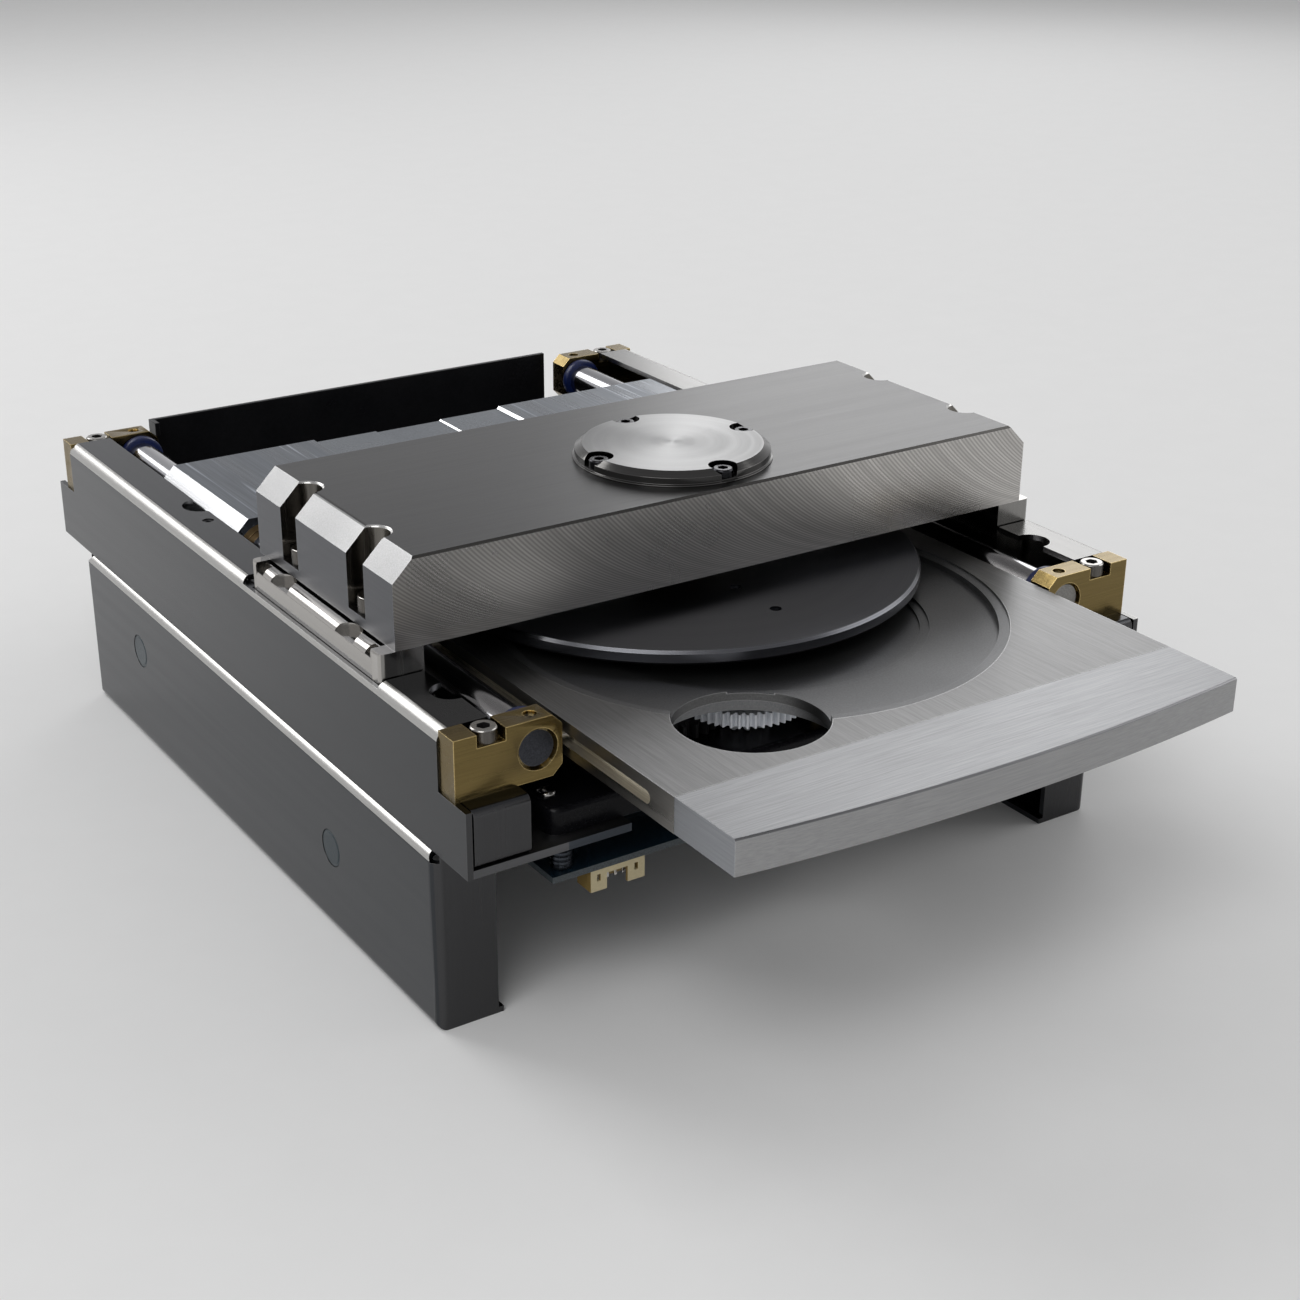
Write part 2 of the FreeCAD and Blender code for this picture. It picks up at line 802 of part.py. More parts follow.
def bridge():
    """Heavy steel bridge over the turntable."""
    half = bridge_half_width
    front = spindle_y - bridge_front
    depth = bridge_front + bridge_back
    top = bridge_top_z
    shoulder = half - bridge_chamfer_x
    low = top - bridge_chamfer_z
    outline = [V(-half, front, bridge_z), V(half, front, bridge_z), V(half, front, low), V(shoulder, front, top),
               V(-shoulder, front, top), V(-half, front, low)]
    body = prism(outline, V(0, depth, 0))
    body = body.makeChamfer(bridge_edge, edges(body, y=(front, front), z=(top, top)))
    cuts = [rod(0, spindle_y, bridge_z, motor_bore_r, bridge_height)]
    for side in (-1, 1):
        for offset in slot_offsets:
            y = spindle_y + offset
            floor = bridge_z + slot_floor
            cuts.append(rod(side * slot_center_x, y, floor, slot_r, bridge_height))
            near, far = sorted((side * slot_center_x, side * (half + 1)))
            cuts.append(box(near, far, y - slot_r, y + slot_r, floor, top))
            cuts.append(rod(side * slot_center_x, y, bridge_z, bridge_screw_r, slot_floor))
    for x, y in cap_screw_places():
        cuts.append(rod(x, y, top - cap_screw_depth, cap_screw_r, cap_screw_depth))
    return body.cut(cuts)


def bridge_screws():
    """Cap screws in the bridge's end slots."""
    screws = []
    for offset in slot_offsets:
        reach = bridge_screw_depth - 1.0 + pad_height + slot_floor - 0.1
        screw = socket_screw(slot_center_x, spindle_y + offset, bridge_z + slot_floor, bridge_screw_head_r,
                             bridge_screw_head, bridge_screw_r, reach)
        screws += [screw, mirrored(screw)]
    return Part.makeCompound(screws)


def cap_screw_places():
    """Places of the bearing cap's four screws."""
    return [around(0, spindle_y, cap_screw_circle, k * 90.0) for k in range(4)]


def bearing_cap():
    """Turned cap over the spindle bearing, with four scalloped screw seats."""
    z = bridge_top_z
    wall = cap_height - 1.2
    cap = rod(0, spindle_y, z, cap_r, wall)
    cap = cap.fuse(Part.makeCone(cap_r, cap_top_r, cap_height - wall, V(0, spindle_y, z + wall), Z_AXIS))
    cuts = []
    for x, y in cap_screw_places():
        cuts.append(rod(x, y, z + 0.9, cap_notch_r, cap_height))
        cuts.append(rod(x, y, z, cap_screw_r, cap_height))
    return cap.cut(cuts).removeSplitter()


def cap_screws():
    """Small cap screws of the bearing cap."""
    return Part.makeCompound([
        socket_screw(x, y, bridge_top_z + 0.9, cap_screw_head_r, cap_screw_head - 0.6, cap_screw_r, cap_screw_depth)
        for x, y in cap_screw_places()])


def spindle_bearings():
    """Upper and lower bearing discs in the bridge bore."""
    upper_z = bridge_top_z - 0.6 - 1.6 - bearing_height
    upper = ring(0, spindle_y, upper_z, motor_bore_r, spindle_r + running_gap, bearing_height)
    lower = ring(0, spindle_y, bridge_z, motor_bore_r, spindle_r + running_gap, bearing_flange)
    return Part.makeCompound([upper, lower])


def motor_z():
    """Height at which the spindle motor's stator starts."""
    return bridge_z + bearing_flange + 0.4


def spindle_stator():
    """Stator ring of the spindle motor with its pole slots."""
    stator = ring(0, spindle_y, motor_z(), motor_bore_r, stator_inner_r, motor_length)
    slots = []
    for k in range(9):
        x, y = around(0, spindle_y, stator_inner_r + 2.6, k * 40.0)
        slots.append(rod(x, y, motor_z(), 1.4, motor_length))
    return stator.cut(slots)


def rotor_magnet():
    """Magnet ring on the spindle."""
    return ring(0, spindle_y, motor_z(), rotor_r, spindle_r, motor_length)


def turntable():
    """Turntable disc with its hub, centring recess and balance holes."""
    z = turntable_z
    disc = rod(0, spindle_y, z, turntable_r, turntable_thick)
    rims = [e for e in disc.Edges if e.BoundBox.ZLength < 0.01 and e.BoundBox.XLength > turntable_r]
    disc = disc.makeChamfer(rim_chamfer, rims)
    disc = disc.fuse(rod(0, spindle_y, z, hub_r, turntable_thick + hub_height))
    cuts = [rod(0, spindle_y, z, recess_r, recess_depth),
            rod(0, spindle_y, z, spindle_r, turntable_thick + hub_height)]
    for k in range(4):
        for circle in turntable_hole_circles:
            x, y = around(0, spindle_y, circle, k * 90.0)
            cuts.append(rod(x, y, z, turntable_hole_r, turntable_thick))
    return disc.cut(cuts).removeSplitter()


def turntable_spindle():
    """Spindle with its retaining ring over the upper bearing."""
    z = turntable_z + recess_depth
    top = bridge_top_z - 0.6
    shaft = rod(0, spindle_y, z, spindle_r, top - z)
    clip = rod(0, spindle_y, top - 1.4, retainer_r, 1.0)
    return joined([shaft, clip])


def tray_blank(y0, y1):
    """Flat length of the tray between two lines."""
    return box(-tray_half_width, tray_half_width, y0, y1, tray_z, tray_top_z)


def side_grooves():
    """Cutters of the grooves in both sides of the tray."""
    z = guide_pin_z()
    y0 = recess_y - groove_front + groove_half
    y1 = recess_y + groove_back
    x0 = tray_half_width - groove_depth
    x1 = tray_half_width + 1
    slot = box(x0, x1, y0, y1, z - groove_half, z + groove_half)
    ends = [rod(x0, y, z, groove_half, x1 - x0, X_AXIS) for y in (y0, y1)]
    cutter = slot.fuse(ends)
    return [cutter, mirrored(cutter)]


def tray_plate():
    """Machined tray with disc recesses, lens slot, finger hole and side grooves."""
    plate = tray_blank(recess_y - band_joint, seam_y + bar_length - 2.0)
    top = tray_top_z
    floor = top - disc_depth
    cuts = [
        rod(0, recess_y, top - disc_step, disc_r, disc_step),
        rod(0, recess_y, floor, disc_floor_r, disc_depth),
        rod(0, recess_y, floor - small_disc_depth / 2, small_disc_r, disc_depth),
        rod(0, recess_y, floor - small_disc_depth, small_floor_r, disc_depth),
        rod(0, recess_y, tray_z, spindle_hole_r, tray_thick),
        box(-slot_half, slot_half, recess_y, recess_y + slot_back - slot_half, tray_z, top),
        rod(0, recess_y + slot_back - slot_half, tray_z, slot_half, tray_thick),
        rod(finger_x, recess_y - finger_front, tray_z, finger_r, tray_thick),
        rod(finger_x, recess_y - finger_front, tray_z, finger_pocket_r, finger_pocket_depth),
    ]
    for x, y in tray_screw_places():
        cuts.append(rod(x, y, tray_z, screw_shank_r, tray_thick))
        cuts.append(rod(x, y, tray_z, screw_head_r + 0.1, screw_head + tray_screw_sink))
    return plate.cut(cuts + side_grooves())


def tray_front_band():
    """Bowed front band of the tray, its face left bare."""
    y0 = recess_y - band_joint
    y1 = y0 - band_side_length
    left = V(-tray_half_width, y1, tray_z)
    right = V(tray_half_width, y1, tray_z)
    back_left = V(-tray_half_width, y0, tray_z)
    back_right = V(tray_half_width, y0, tray_z)
    wire = Part.Wire([
        Part.LineSegment(back_left, left).toShape(),
        Part.Arc(left, V(0, y1 - bow, tray_z), right).toShape(),
        Part.LineSegment(right, back_right).toShape(),
        Part.LineSegment(back_right, back_left).toShape()])
    band = Part.Face(wire).extrude(V(0, 0, tray_thick))
    front = [e for e in band.Edges if e.BoundBox.ZLength < 0.01 and e.BoundBox.YMax < y0 - 1
             and e.BoundBox.ZMin > tray_top_z - 0.01]
    return band.makeChamfer(tray_edge, front)


def tray_screw_places():
    """Screws that hold the tray to its carriage."""
    y = seam_y + bar_length - tray_screw_back
    outer = tray_half_width - tray_screw_inset
    return [(x, y) for x in (-outer, -tray_screw_inner, tray_screw_inner, outer)]


def tray_screws():
    """Screws under the tray, up into the carriage."""
    screws = []
    for x, y in tray_screw_places():
        head_z = tray_z + tray_screw_sink
        head = rod(x, y, head_z, screw_head_r, screw_head)
        shank = rod(x, y, head_z + screw_head, screw_shank_r, tray_top_z + 2.0 - head_z - screw_head)
        screws.append(joined([head, shank]))
    return Part.makeCompound(screws)


def tray_carriage():
    """Milled carriage: two bearing bars and the stepped cross-piece over the tray's rear."""
    y0 = seam_y
    y1 = seam_y + bar_length
    z0 = ledge_z + bar_over_ledge
    top = z0 + bar_height
    bar = box(tray_half_width, bar_outer_x, y0, y1, z0, top)
    c = bar_chamfer
    bar = bar.makeChamfer(c, edges(bar, x=(bar_outer_x, bar_outer_x), z=(top, top)))
    bridge_piece = box(-tray_half_width, tray_half_width, y0, y1, tray_top_z, top)
    block = joined([bar, mirrored(bar), bridge_piece])
    bow_y = spindle_y + tray_open_travel
    cuts = [rod(0, bow_y, tray_top_z, carriage_bow_r, bar_height)]
    for left, right, drop in zip(step_edges, step_edges[1:], step_drops):
        cuts.append(box(left, right, y0, y1, top - drop, top))
    for side in (-1, 1):
        x = side * shaft_x
        cuts.append(rod(x, y0, shaft_z, bush_r - 0.6, bar_length, Y_AXIS))
        for y in (y0, y1 - bush_length):
            cuts.append(rod(x, y, shaft_z, bush_r, bush_length, Y_AXIS))
    for x, y in tray_screw_places():
        cuts.append(rod(x, y, tray_top_z, screw_shank_r, 2.0))
    return block.cut(cuts)


def shaft_bushes():
    """Four plain bushes of the carriage."""
    bushes = []
    for y in (seam_y, seam_y + bar_length - bush_length):
        bush = ring(shaft_x, y, shaft_z, bush_r, shaft_r + running_gap, bush_length, Y_AXIS)
        bushes += [bush, mirrored(bush)]
    return Part.makeCompound(bushes)


def load_gear_center():
    """Centre of the loading gear."""
    pitch_r = rack_module * load_pinion_teeth / 2
    return rack_line_x - pitch_r, spindle_y - load_front


def tray_rack():
    """Toothed rack under the right side of the tray."""
    _, y = load_gear_center()
    closed = tray_out
    first = y - closed - rack_margin
    last = y + tray_open_travel + rack_margin
    z0 = tray_z - rack_height
    line = rack_line_x
    outline = [V(line + rack_width, first, z0)]
    outline.append(V(line + 1.25 * rack_module, first, z0))
    for place, height in rack_teeth(rack_module, first, last, y):
        outline.append(V(line - height, place, z0))
    outline.append(V(line + 1.25 * rack_module, last, z0))
    outline.append(V(line + rack_width, last, z0))
    return prism(outline, V(0, 0, rack_height))


def load_gear():
    """Loading gear and the pinion that drives the rack, on one hub."""
    x, y = load_gear_center()
    z0 = frame_top_z + slide_gap
    low = gear(load_gear_module, load_gear_teeth, x, y, z0, load_web, load_motor_angle)
    rise = tray_z - 0.8 - z0 - load_web
    high = gear(rack_module, load_pinion_teeth, x, y, z0 + load_web, rise, 0.0)
    return joined([low, high]).cut(rod(x, y, z0, gear_post_r + running_gap, load_web + rise))


def load_motor_center():
    """Centre of the loading motor."""
    x, y = load_gear_center()
    distance = load_gear_module * (load_gear_teeth + motor_pinion_teeth) / 2
    return around(x, y, distance, load_motor_angle)


def load_motor_pinion():
    """Pinion and shaft of the loading motor."""
    x, y = load_motor_center()
    z0 = frame_top_z + slide_gap
    phase = mesh_phase(load_motor_angle, load_gear_teeth, load_motor_angle, motor_pinion_teeth)
    pinion = gear(load_gear_module, motor_pinion_teeth, x, y, z0, load_web, phase)
    return joined([pinion, rod(x, y, z0 - frame_skin, motor_shaft_r, frame_skin)])


def drive_motor(x, y):
    """Small can motor under the loader frame."""
    z0 = frame_top_z - frame_skin - motor_can
    can = rod(x, y, z0, motor_r, motor_can)
    can = can.makeFillet(1.0, edges(can, z=(z0, z0)))
    boss = rod(x, y, z0 - 1.0, 2.5, 1.0)
    bore = rod(x, y, z0 + motor_can - 3.0, motor_shaft_r + running_gap, 3.0)
    return joined([can, boss]).cut(bore)


def cam_gear_center():
    """Centre of the gear that drives the slide cam."""
    return cam_gear_x, spindle_y - cam_gear_front


def lift_gear_center():
    """Centre of the white lift gear."""
    x, y = cam_gear_center()
    return around(x, y, cam_module * (cam_gear_teeth + step_pinion_teeth) / 2, step_angle)


def lift_motor_center():
    """Centre of the lift motor."""
    x, y = lift_gear_center()
    return around(x, y, lift_module * (lift_gear_teeth + lift_pinion_teeth) / 2, lift_motor_angle)


def cam_gear():
    """Gear between the white lift gear and the slide cam."""
    x, y = cam_gear_center()
    z0 = frame_top_z + slide_gap
    wheel = gear(cam_module, cam_gear_teeth, x, y, z0, gear_web, 90.0)
    return wheel.cut(rod(x, y, z0, gear_post_r + running_gap, gear_web))


def lift_gear():
    """White two-step gear seen through the finger hole."""
    x, y = lift_gear_center()
    z0 = frame_top_z + slide_gap
    phase = mesh_phase(90.0, cam_gear_teeth, step_angle, step_pinion_teeth)
    low = gear(cam_module, step_pinion_teeth, x, y, z0, gear_web + 1.0, phase)
    high = gear(lift_module, lift_gear_teeth, x, y, z0 + gear_web + 1.0, gear_web, lift_motor_angle)
    return joined([low, high]).cut(rod(x, y, z0, gear_post_r + running_gap, 2 * gear_web + 1.0))


def lift_motor_pinion():
    """Pinion and shaft of the lift motor."""
    x, y = lift_motor_center()
    z0 = frame_top_z + slide_gap
    phase = mesh_phase(lift_motor_angle, lift_gear_teeth, lift_motor_angle, lift_pinion_teeth)
    pinion = gear(lift_module, lift_pinion_teeth, x, y, z0 + gear_web + 1.0, gear_web, phase)
    shaft = rod(x, y, z0 - frame_skin, motor_shaft_r, frame_skin + gear_web + 1.0)
    return joined([pinion, shaft])


def cam_line_y():
    """Pitch line of the cam's teeth."""
    return spindle_y - cam_gear_front + cam_module * cam_gear_teeth / 2


def cam_face_y():
    """Front face of the cam's wall, at the root of its teeth."""
    return cam_line_y() + 1.25 * cam_module


def pin_rest_z():
    """Height of the deck's cam pins when the deck is down."""
    return deck_z + cam_pin_over_base


def slide_cam():
    """Sliding wall with two inclined slots and a toothed edge."""
    front = cam_face_y()
    x0 = -cam_pin_x - cam_travel - cam_end
    x1 = cam_pin_x + cam_end
    z0 = deck_z + 0.2
    wall = box(x0, x1, front, front + cam_wall, z0, z0 + cam_height)
    cuts = []
    for side in (-1, 1):
        low = V(side * cam_pin_x, front, pin_rest_z())
        high = V(side * cam_pin_x - cam_travel, front, pin_rest_z() + lift_travel)
        along = (high - low).normalize()
        across = V(along.z, 0, -along.x) * (cam_pin_r + 0.1)
        low = low - along * 0.5
        high = high + along * 0.5
        cuts.append(prism([low + across, high + across, high - across, low - across], V(0, cam_wall, 0)))
        for end in (low, high):
            cuts.append(rod(end.x, front, end.z, cam_pin_r + 0.1, cam_wall, Y_AXIS))
    x, _ = cam_gear_center()
    first = x - cam_travel - rack_margin
    last = x + rack_margin
    z1 = frame_top_z + slide_gap
    teeth = [V(first, front, z1)]
    for place, height in rack_teeth(cam_module, first, last, x):
        teeth.append(V(place, cam_line_y() - height, z1))
    teeth.append(V(last, front, z1))
    teeth.append(V(last, front + 1.0, z1))
    teeth.append(V(first, front + 1.0, z1))
    return joined([wall, prism(teeth, V(0, 0, gear_web))]).cut(cuts)


def frame_screw_places():
    """Screws of the loader frame."""
    places = []
    for side in (-1, 1):
        places.append((side * frame_screw_x, spindle_y - frame_screw_front))
        places.append((side * (frame_screw_x - frame_screw_step), spindle_y - frame_screw_back))
    return places


def frame_back_y():
    """Rear edge of the loader frame, clear of the cam's teeth."""
    return cam_line_y() - cam_module - frame_back_gap


def loader_frame():
    """Moulded frame that carries the gears, posts and motors."""
    front = spindle_y - frame_front
    back = frame_back_y()
    half = frame_half_width
    body = box(-half, half, front, back, frame_z, frame_top_z)
    uprights = [e for e in body.Edges if e.BoundBox.ZLength > 1]
    body = body.makeFillet(frame_corner_r, uprights)
    body = body.makeFillet(frame_top_round, edges(body, z=(frame_top_z, frame_top_z)))
    w = frame_wall
    hollow = box(-half + w + 6.0, half - w - 6.0, front + w, back - w, frame_z, frame_top_z - frame_skin)
    cuts = [hollow]
    for x, y in (load_motor_center(), lift_motor_center()):
        cuts.append(rod(x, y, frame_top_z - frame_skin, motor_shaft_r + 0.4, frame_skin))
        cuts.append(rod(x, y, frame_z, motor_r, frame_height - frame_skin))
    cuts += [rod(x, y, frame_z, screw_shank_r, frame_height) for x, y in frame_screw_places()]
    body = body.cut(cuts)
    posts = []
    for (x, y), top in ((load_gear_center(), tray_z - 0.5),
                        (cam_gear_center(), frame_top_z + gear_web + 0.6),
                        (lift_gear_center(), frame_top_z + 2 * gear_web + 1.6)):
        posts.append(rod(x, y, frame_top_z - frame_skin, gear_post_r, top - frame_top_z + frame_skin))
    return joined([body] + posts)


def pan_screws():
    """Pan-head screws of the loader frame and of the rails."""
    screws = [pan_screw(x, y, frame_top_z, frame_height + base_sheet) for x, y in frame_screw_places()]
    for y in rail_screw_ys():
        screw = pan_screw(rail_screw_x(), y, deck_z + sheet, sheet + base_sheet)
        screws += [screw, mirrored(screw)]
    return Part.makeCompound(screws)


def board_top_z():
    """Top face of the circuit board."""
    return base_z - board_top_gap


def standoff_places():
    """Places of the board's standoffs."""
    front = spindle_y - standoff_front
    back = spindle_y - frame_front + board_depth - 6.0
    left = board_left_x + standoff_left
    return [(left, front), (left, back), (board_right_x - standoff_right, back)]


def circuit_board():
    """Board of the loader, hung under the base plate."""
    z0 = board_top_z() - board_thick
    front = spindle_y - frame_front
    board = box(board_left_x, board_right_x, front, front + board_depth, z0, z0 + board_thick)
    top = z0 + board_thick
    x, y = board_left_x + chip_left, front + chip_front
    chips = [box(x, x + chip_side, y, y + chip_side, top, top + chip_height)]
    x, y = board_left_x + driver_left, front + driver_front
    chips.append(box(x, x + driver_width, y, y + driver_depth, top, top + driver_height))
    board = joined([board] + chips)
    return board.cut([rod(x, y, z0, board_screw_r, board_thick) for x, y in standoff_places()])


def board_standoffs():
    """Round standoffs between the board and the base plate."""
    posts = []
    z0 = board_top_z()
    for x, y in standoff_places():
        post = rod(x, y, z0, standoff_r, base_z - z0)
        screw = rod(x, y, z0 - board_thick - 1.2, 2.0, 1.2)
        shank = rod(x, y, z0 - board_thick, board_screw_r, board_thick)
        posts.append(joined([post, screw, shank]))
    return Part.makeCompound(posts)


def connector_box():
    """Left, right, front and back limits of the connector."""
    front = spindle_y - frame_front
    return connector_left_x, connector_left_x + connector_width, front, front + connector_depth


def connector_housing():
    """Moulded socket under the board, open to the front and below."""
    x0, x1, y0, y1 = connector_box()
    z1 = board_top_z() - board_thick
    z0 = z1 - connector_height
    w = connector_wall
    shell = box(x0, x1, y0, y1, z0, z1)
    left, right = x0 + connector_gap_left * connector_width, x0 + connector_gap_right * connector_width
    cuts = [box(x0 + w, x1 - w, y0 + w, y1 - w, z0, z1 - 1.2),
            box(left, right, y0, y0 + w, z0, z1 - connector_lip)]
    for middle in ((x0 + left) / 2, (right + x1) / 2):
        cuts.append(box(middle - connector_slit, middle + connector_slit, y0, y0 + w,
                        z1 - 0.55 * connector_height, z1 - 1.2))
    return shell.cut(cuts)


def connector_pin_group():
    """Square pins of the connector."""
    x0, x1, y0, y1 = connector_box()
    z1 = board_top_z() - board_thick
    pitch = (connector_width - 2 * connector_wall) / connector_pins
    middle = (y0 + y1) / 2
    pins = []
    for k in range(connector_pins):
        x = x0 + connector_wall + pitch * (k + 0.5)
        pins.append(box(x - pin_half, x + pin_half, middle - pin_half, middle + pin_half,
                        z1 - connector_height + 1.0, z1 - 1.2))
    return Part.makeCompound(pins)


def post_places():
    """Places of the lift deck's guide posts."""
    return [(s * post_x, spindle_y + d) for s in (-1, 1) for d in (post_front, post_back)]


def lift_posts():
    """Ground guide posts of the lift deck."""
    posts = []
    for x, y in post_places():
        post = rod(x, y, base_z, post_r, post_top - base_z)
        posts.append(post.makeChamfer(0.4, edges(post, z=(post_top, post_top))))
    return Part.makeCompound(posts)


def deck_base_z():
    """Underside of the lift deck when it is down."""
    return deck_z + deck_over_base


def sled_shaft_z():
    """Height of the sled's shafts."""
    return deck_base_z() + deck_thick / 2 + sled_shaft_over_deck


def sled_shaft_span():
    """Front and rear ends of the sled's shafts."""
    return spindle_y + deck_hole_front - 3.0, spindle_y + deck_hole_back + 3.0


def lift_deck():
    """Deck that carries the clamper and the optical sled up to the disc."""
    z0 = deck_base_z()
    z1 = z0 + deck_thick
    half = deck_half_width
    plate = box(-half, half, spindle_y - deck_front, spindle_y + deck_back, z0, z1)
    opening = box(deck_hole_left, deck_hole_right, spindle_y + deck_hole_front, spindle_y + deck_hole_back, z0, z1)
    bosses = [rod(x, y, z0, post_boss_r, deck_thick + post_boss) for x, y in post_places()]
    lugs = []
    low, high = sled_shaft_span()
    for x in (-sled_shaft_x, sled_shaft_x):
        for y0, y1 in ((low - 1.5, spindle_y + deck_hole_front), (spindle_y + deck_hole_back, high + 1.5)):
            lugs.append(box(x - 3.0, x + 3.0, y0, y1, z1, sled_shaft_z() + sled_shaft_r + 1.5))
    screw_lug = box(screw_x - 3.0, screw_x + 3.0, spindle_y + deck_hole_front - 3.0, spindle_y + deck_hole_front,
                    z1, sled_shaft_z() + sled_shaft_r + 1.5)
    pins = []
    for x in (-cam_pin_x, cam_pin_x):
        pins.append(rod(x, cam_face_y() + 0.4, pin_rest_z(), cam_pin_r,
                        spindle_y - deck_front - cam_face_y() - 0.4, Y_AXIS))
    deck = joined([plate.cut(opening)] + bosses + lugs + [screw_lug] + pins)
    cuts = [rod(x, y, z0, post_r + running_gap, deck_thick + post_boss) for x, y in post_places()]
    for x in (-sled_shaft_x, sled_shaft_x):
        cuts.append(rod(x, low, sled_shaft_z(), sled_shaft_r, high - low, Y_AXIS))
    cuts.append(rod(screw_x, screw_front_y() - 0.3, sled_shaft_z(), screw_core_r + running_gap, 5.0, Y_AXIS))
    cuts.append(rod(0, spindle_y, z0, clamper_shaft_r + 1.0, deck_thick))
    motor_room = rod(screw_x, spindle_y + deck_hole_back, sled_shaft_z(), sled_motor_r, sled_motor_length, Y_AXIS)
    return deck.cut(cuts + [motor_room])


def sled_shafts():
    """Two shafts of the optical sled."""
    low, high = sled_shaft_span()
    return pair(rod(sled_shaft_x, low, sled_shaft_z(), sled_shaft_r, high - low, Y_AXIS))


def clamper_bearing():
    """Bearing tower of the clamper."""
    z0 = deck_base_z() + deck_thick
    z1 = clamper_top - clamper_thick - 0.3
    return ring(0, spindle_y, z0, clamper_bearing_r, clamper_shaft_r + running_gap, z1 - z0)


def disc_clamper():
    """Spinning clamper with its rubber-faced flange and centring cone."""
    z0 = clamper_top - clamper_thick
    flange = rod(0, spindle_y, z0, clamper_r, clamper_thick)
    cone = Part.makeCone(cone_r, cone_r - cone_chamfer, cone_height, V(0, spindle_y, clamper_top), Z_AXIS)
    shaft_z0 = deck_base_z() + 0.4
    shaft = rod(0, spindle_y, shaft_z0, clamper_shaft_r, z0 - shaft_z0)
    return joined([flange, cone, shaft])


def sled_z():
    """Underside of the optical sled."""
    return sled_shaft_z() - sled_height / 2


def lens_y():
    """Place of the lens along Y."""
    return spindle_y + lens_radius


def optical_sled():
    """Carrier of the lens on the two sled shafts."""
    y0 = lens_y() - sled_length / 2
    y1 = y0 + sled_length
    z0 = sled_z()
    z1 = z0 + sled_height - 0.8
    body = box(-sled_half_width, sled_half_width, y0, y1, z0, z1)
    ears = []
    for side in (-1, 1):
        near, far = sorted((side * sled_half_width, side * (sled_shaft_x + 3.0)))
        for a in (y0, y1 - sled_ear):
            ears.append(box(near, far, a, a + sled_ear, z0 + 0.4, z1 - 0.2))
    arm = box(sled_shaft_x + 3.0, screw_x + 3.0, y0, y0 + sled_ear, z0 + 0.4, z1 - 0.2)
    turret = rod(0, lens_y(), z1, lens_r + lens_ring + 1.0, lens_turret)
    body = joined([body, turret, arm] + ears)
    cuts = []
    for x in (-sled_shaft_x, sled_shaft_x):
        cuts.append(rod(x, y0, sled_shaft_z(), sled_shaft_r + running_gap, sled_length, Y_AXIS))
    cuts.append(rod(screw_x, y0, sled_shaft_z(), screw_r + 0.1, sled_ear, Y_AXIS))
    cuts.append(rod(0, lens_y(), z0 + 2.0, lens_r + 0.3, sled_height + 4.0))
    return body.cut(cuts)


def pickup_lens():
    """Objective lens in its barrel."""
    z0 = sled_z() + 2.6
    barrel = rod(0, lens_y(), z0, lens_r, lens_top - 1.0 - z0)
    dome = Part.makeSphere(4.4, V(0, lens_y(), lens_top - 4.4))
    dome = dome.common(rod(0, lens_y(), lens_top - 1.0, lens_r - lens_ring, 2.0))
    return joined([barrel, dome])


def screw_front_y():
    """Front end of the lead screw."""
    return spindle_y + deck_hole_front - 2.5


def lead_screw():
    """Lead screw of the sled, its thread as plain rings."""
    y0 = screw_front_y()
    y1 = spindle_y + deck_hole_back
    core = rod(screw_x, y0, sled_shaft_z(), screw_core_r, y1 - y0 + 3.0, Y_AXIS)
    rings = []
    count = int((y1 - y0 - 6.0) / screw_pitch)
    for k in range(count):
        rings.append(rod(screw_x, y0 + 3.5 + k * screw_pitch, sled_shaft_z(), screw_r, screw_pitch / 2, Y_AXIS))
    return joined([core] + rings)


def sled_motor():
    """Small motor of the lead screw, at the deck's rear."""
    y0 = spindle_y + deck_hole_back
    can = rod(screw_x, y0, sled_shaft_z(), sled_motor_r, sled_motor_length, Y_AXIS)
    return can.cut(rod(screw_x, y0, sled_shaft_z(), screw_core_r + running_gap, 4.0, Y_AXIS))


def rear_panel():
    """Black cross panel at the rear, bent at its foot and at one end."""
    y1 = rail_back_y - panel_setback
    y0 = y1 - sheet
    half = panel_half_width
    wall = box(-half, half, y0, y1, deck_z, deck_z + panel_height)
    foot = box(-half, half, y0 - panel_foot, y0, deck_z, deck_z + sheet)
    top = deck_z + panel_height
    tip = box(-half, -half + sheet, y0 - panel_tip, y0, top - panel_tip, top)
    return joined([wall, foot, tip])


def save(name, shape):
    """Write one node."""
    shape.exportStep("parts/" + name + ".step")


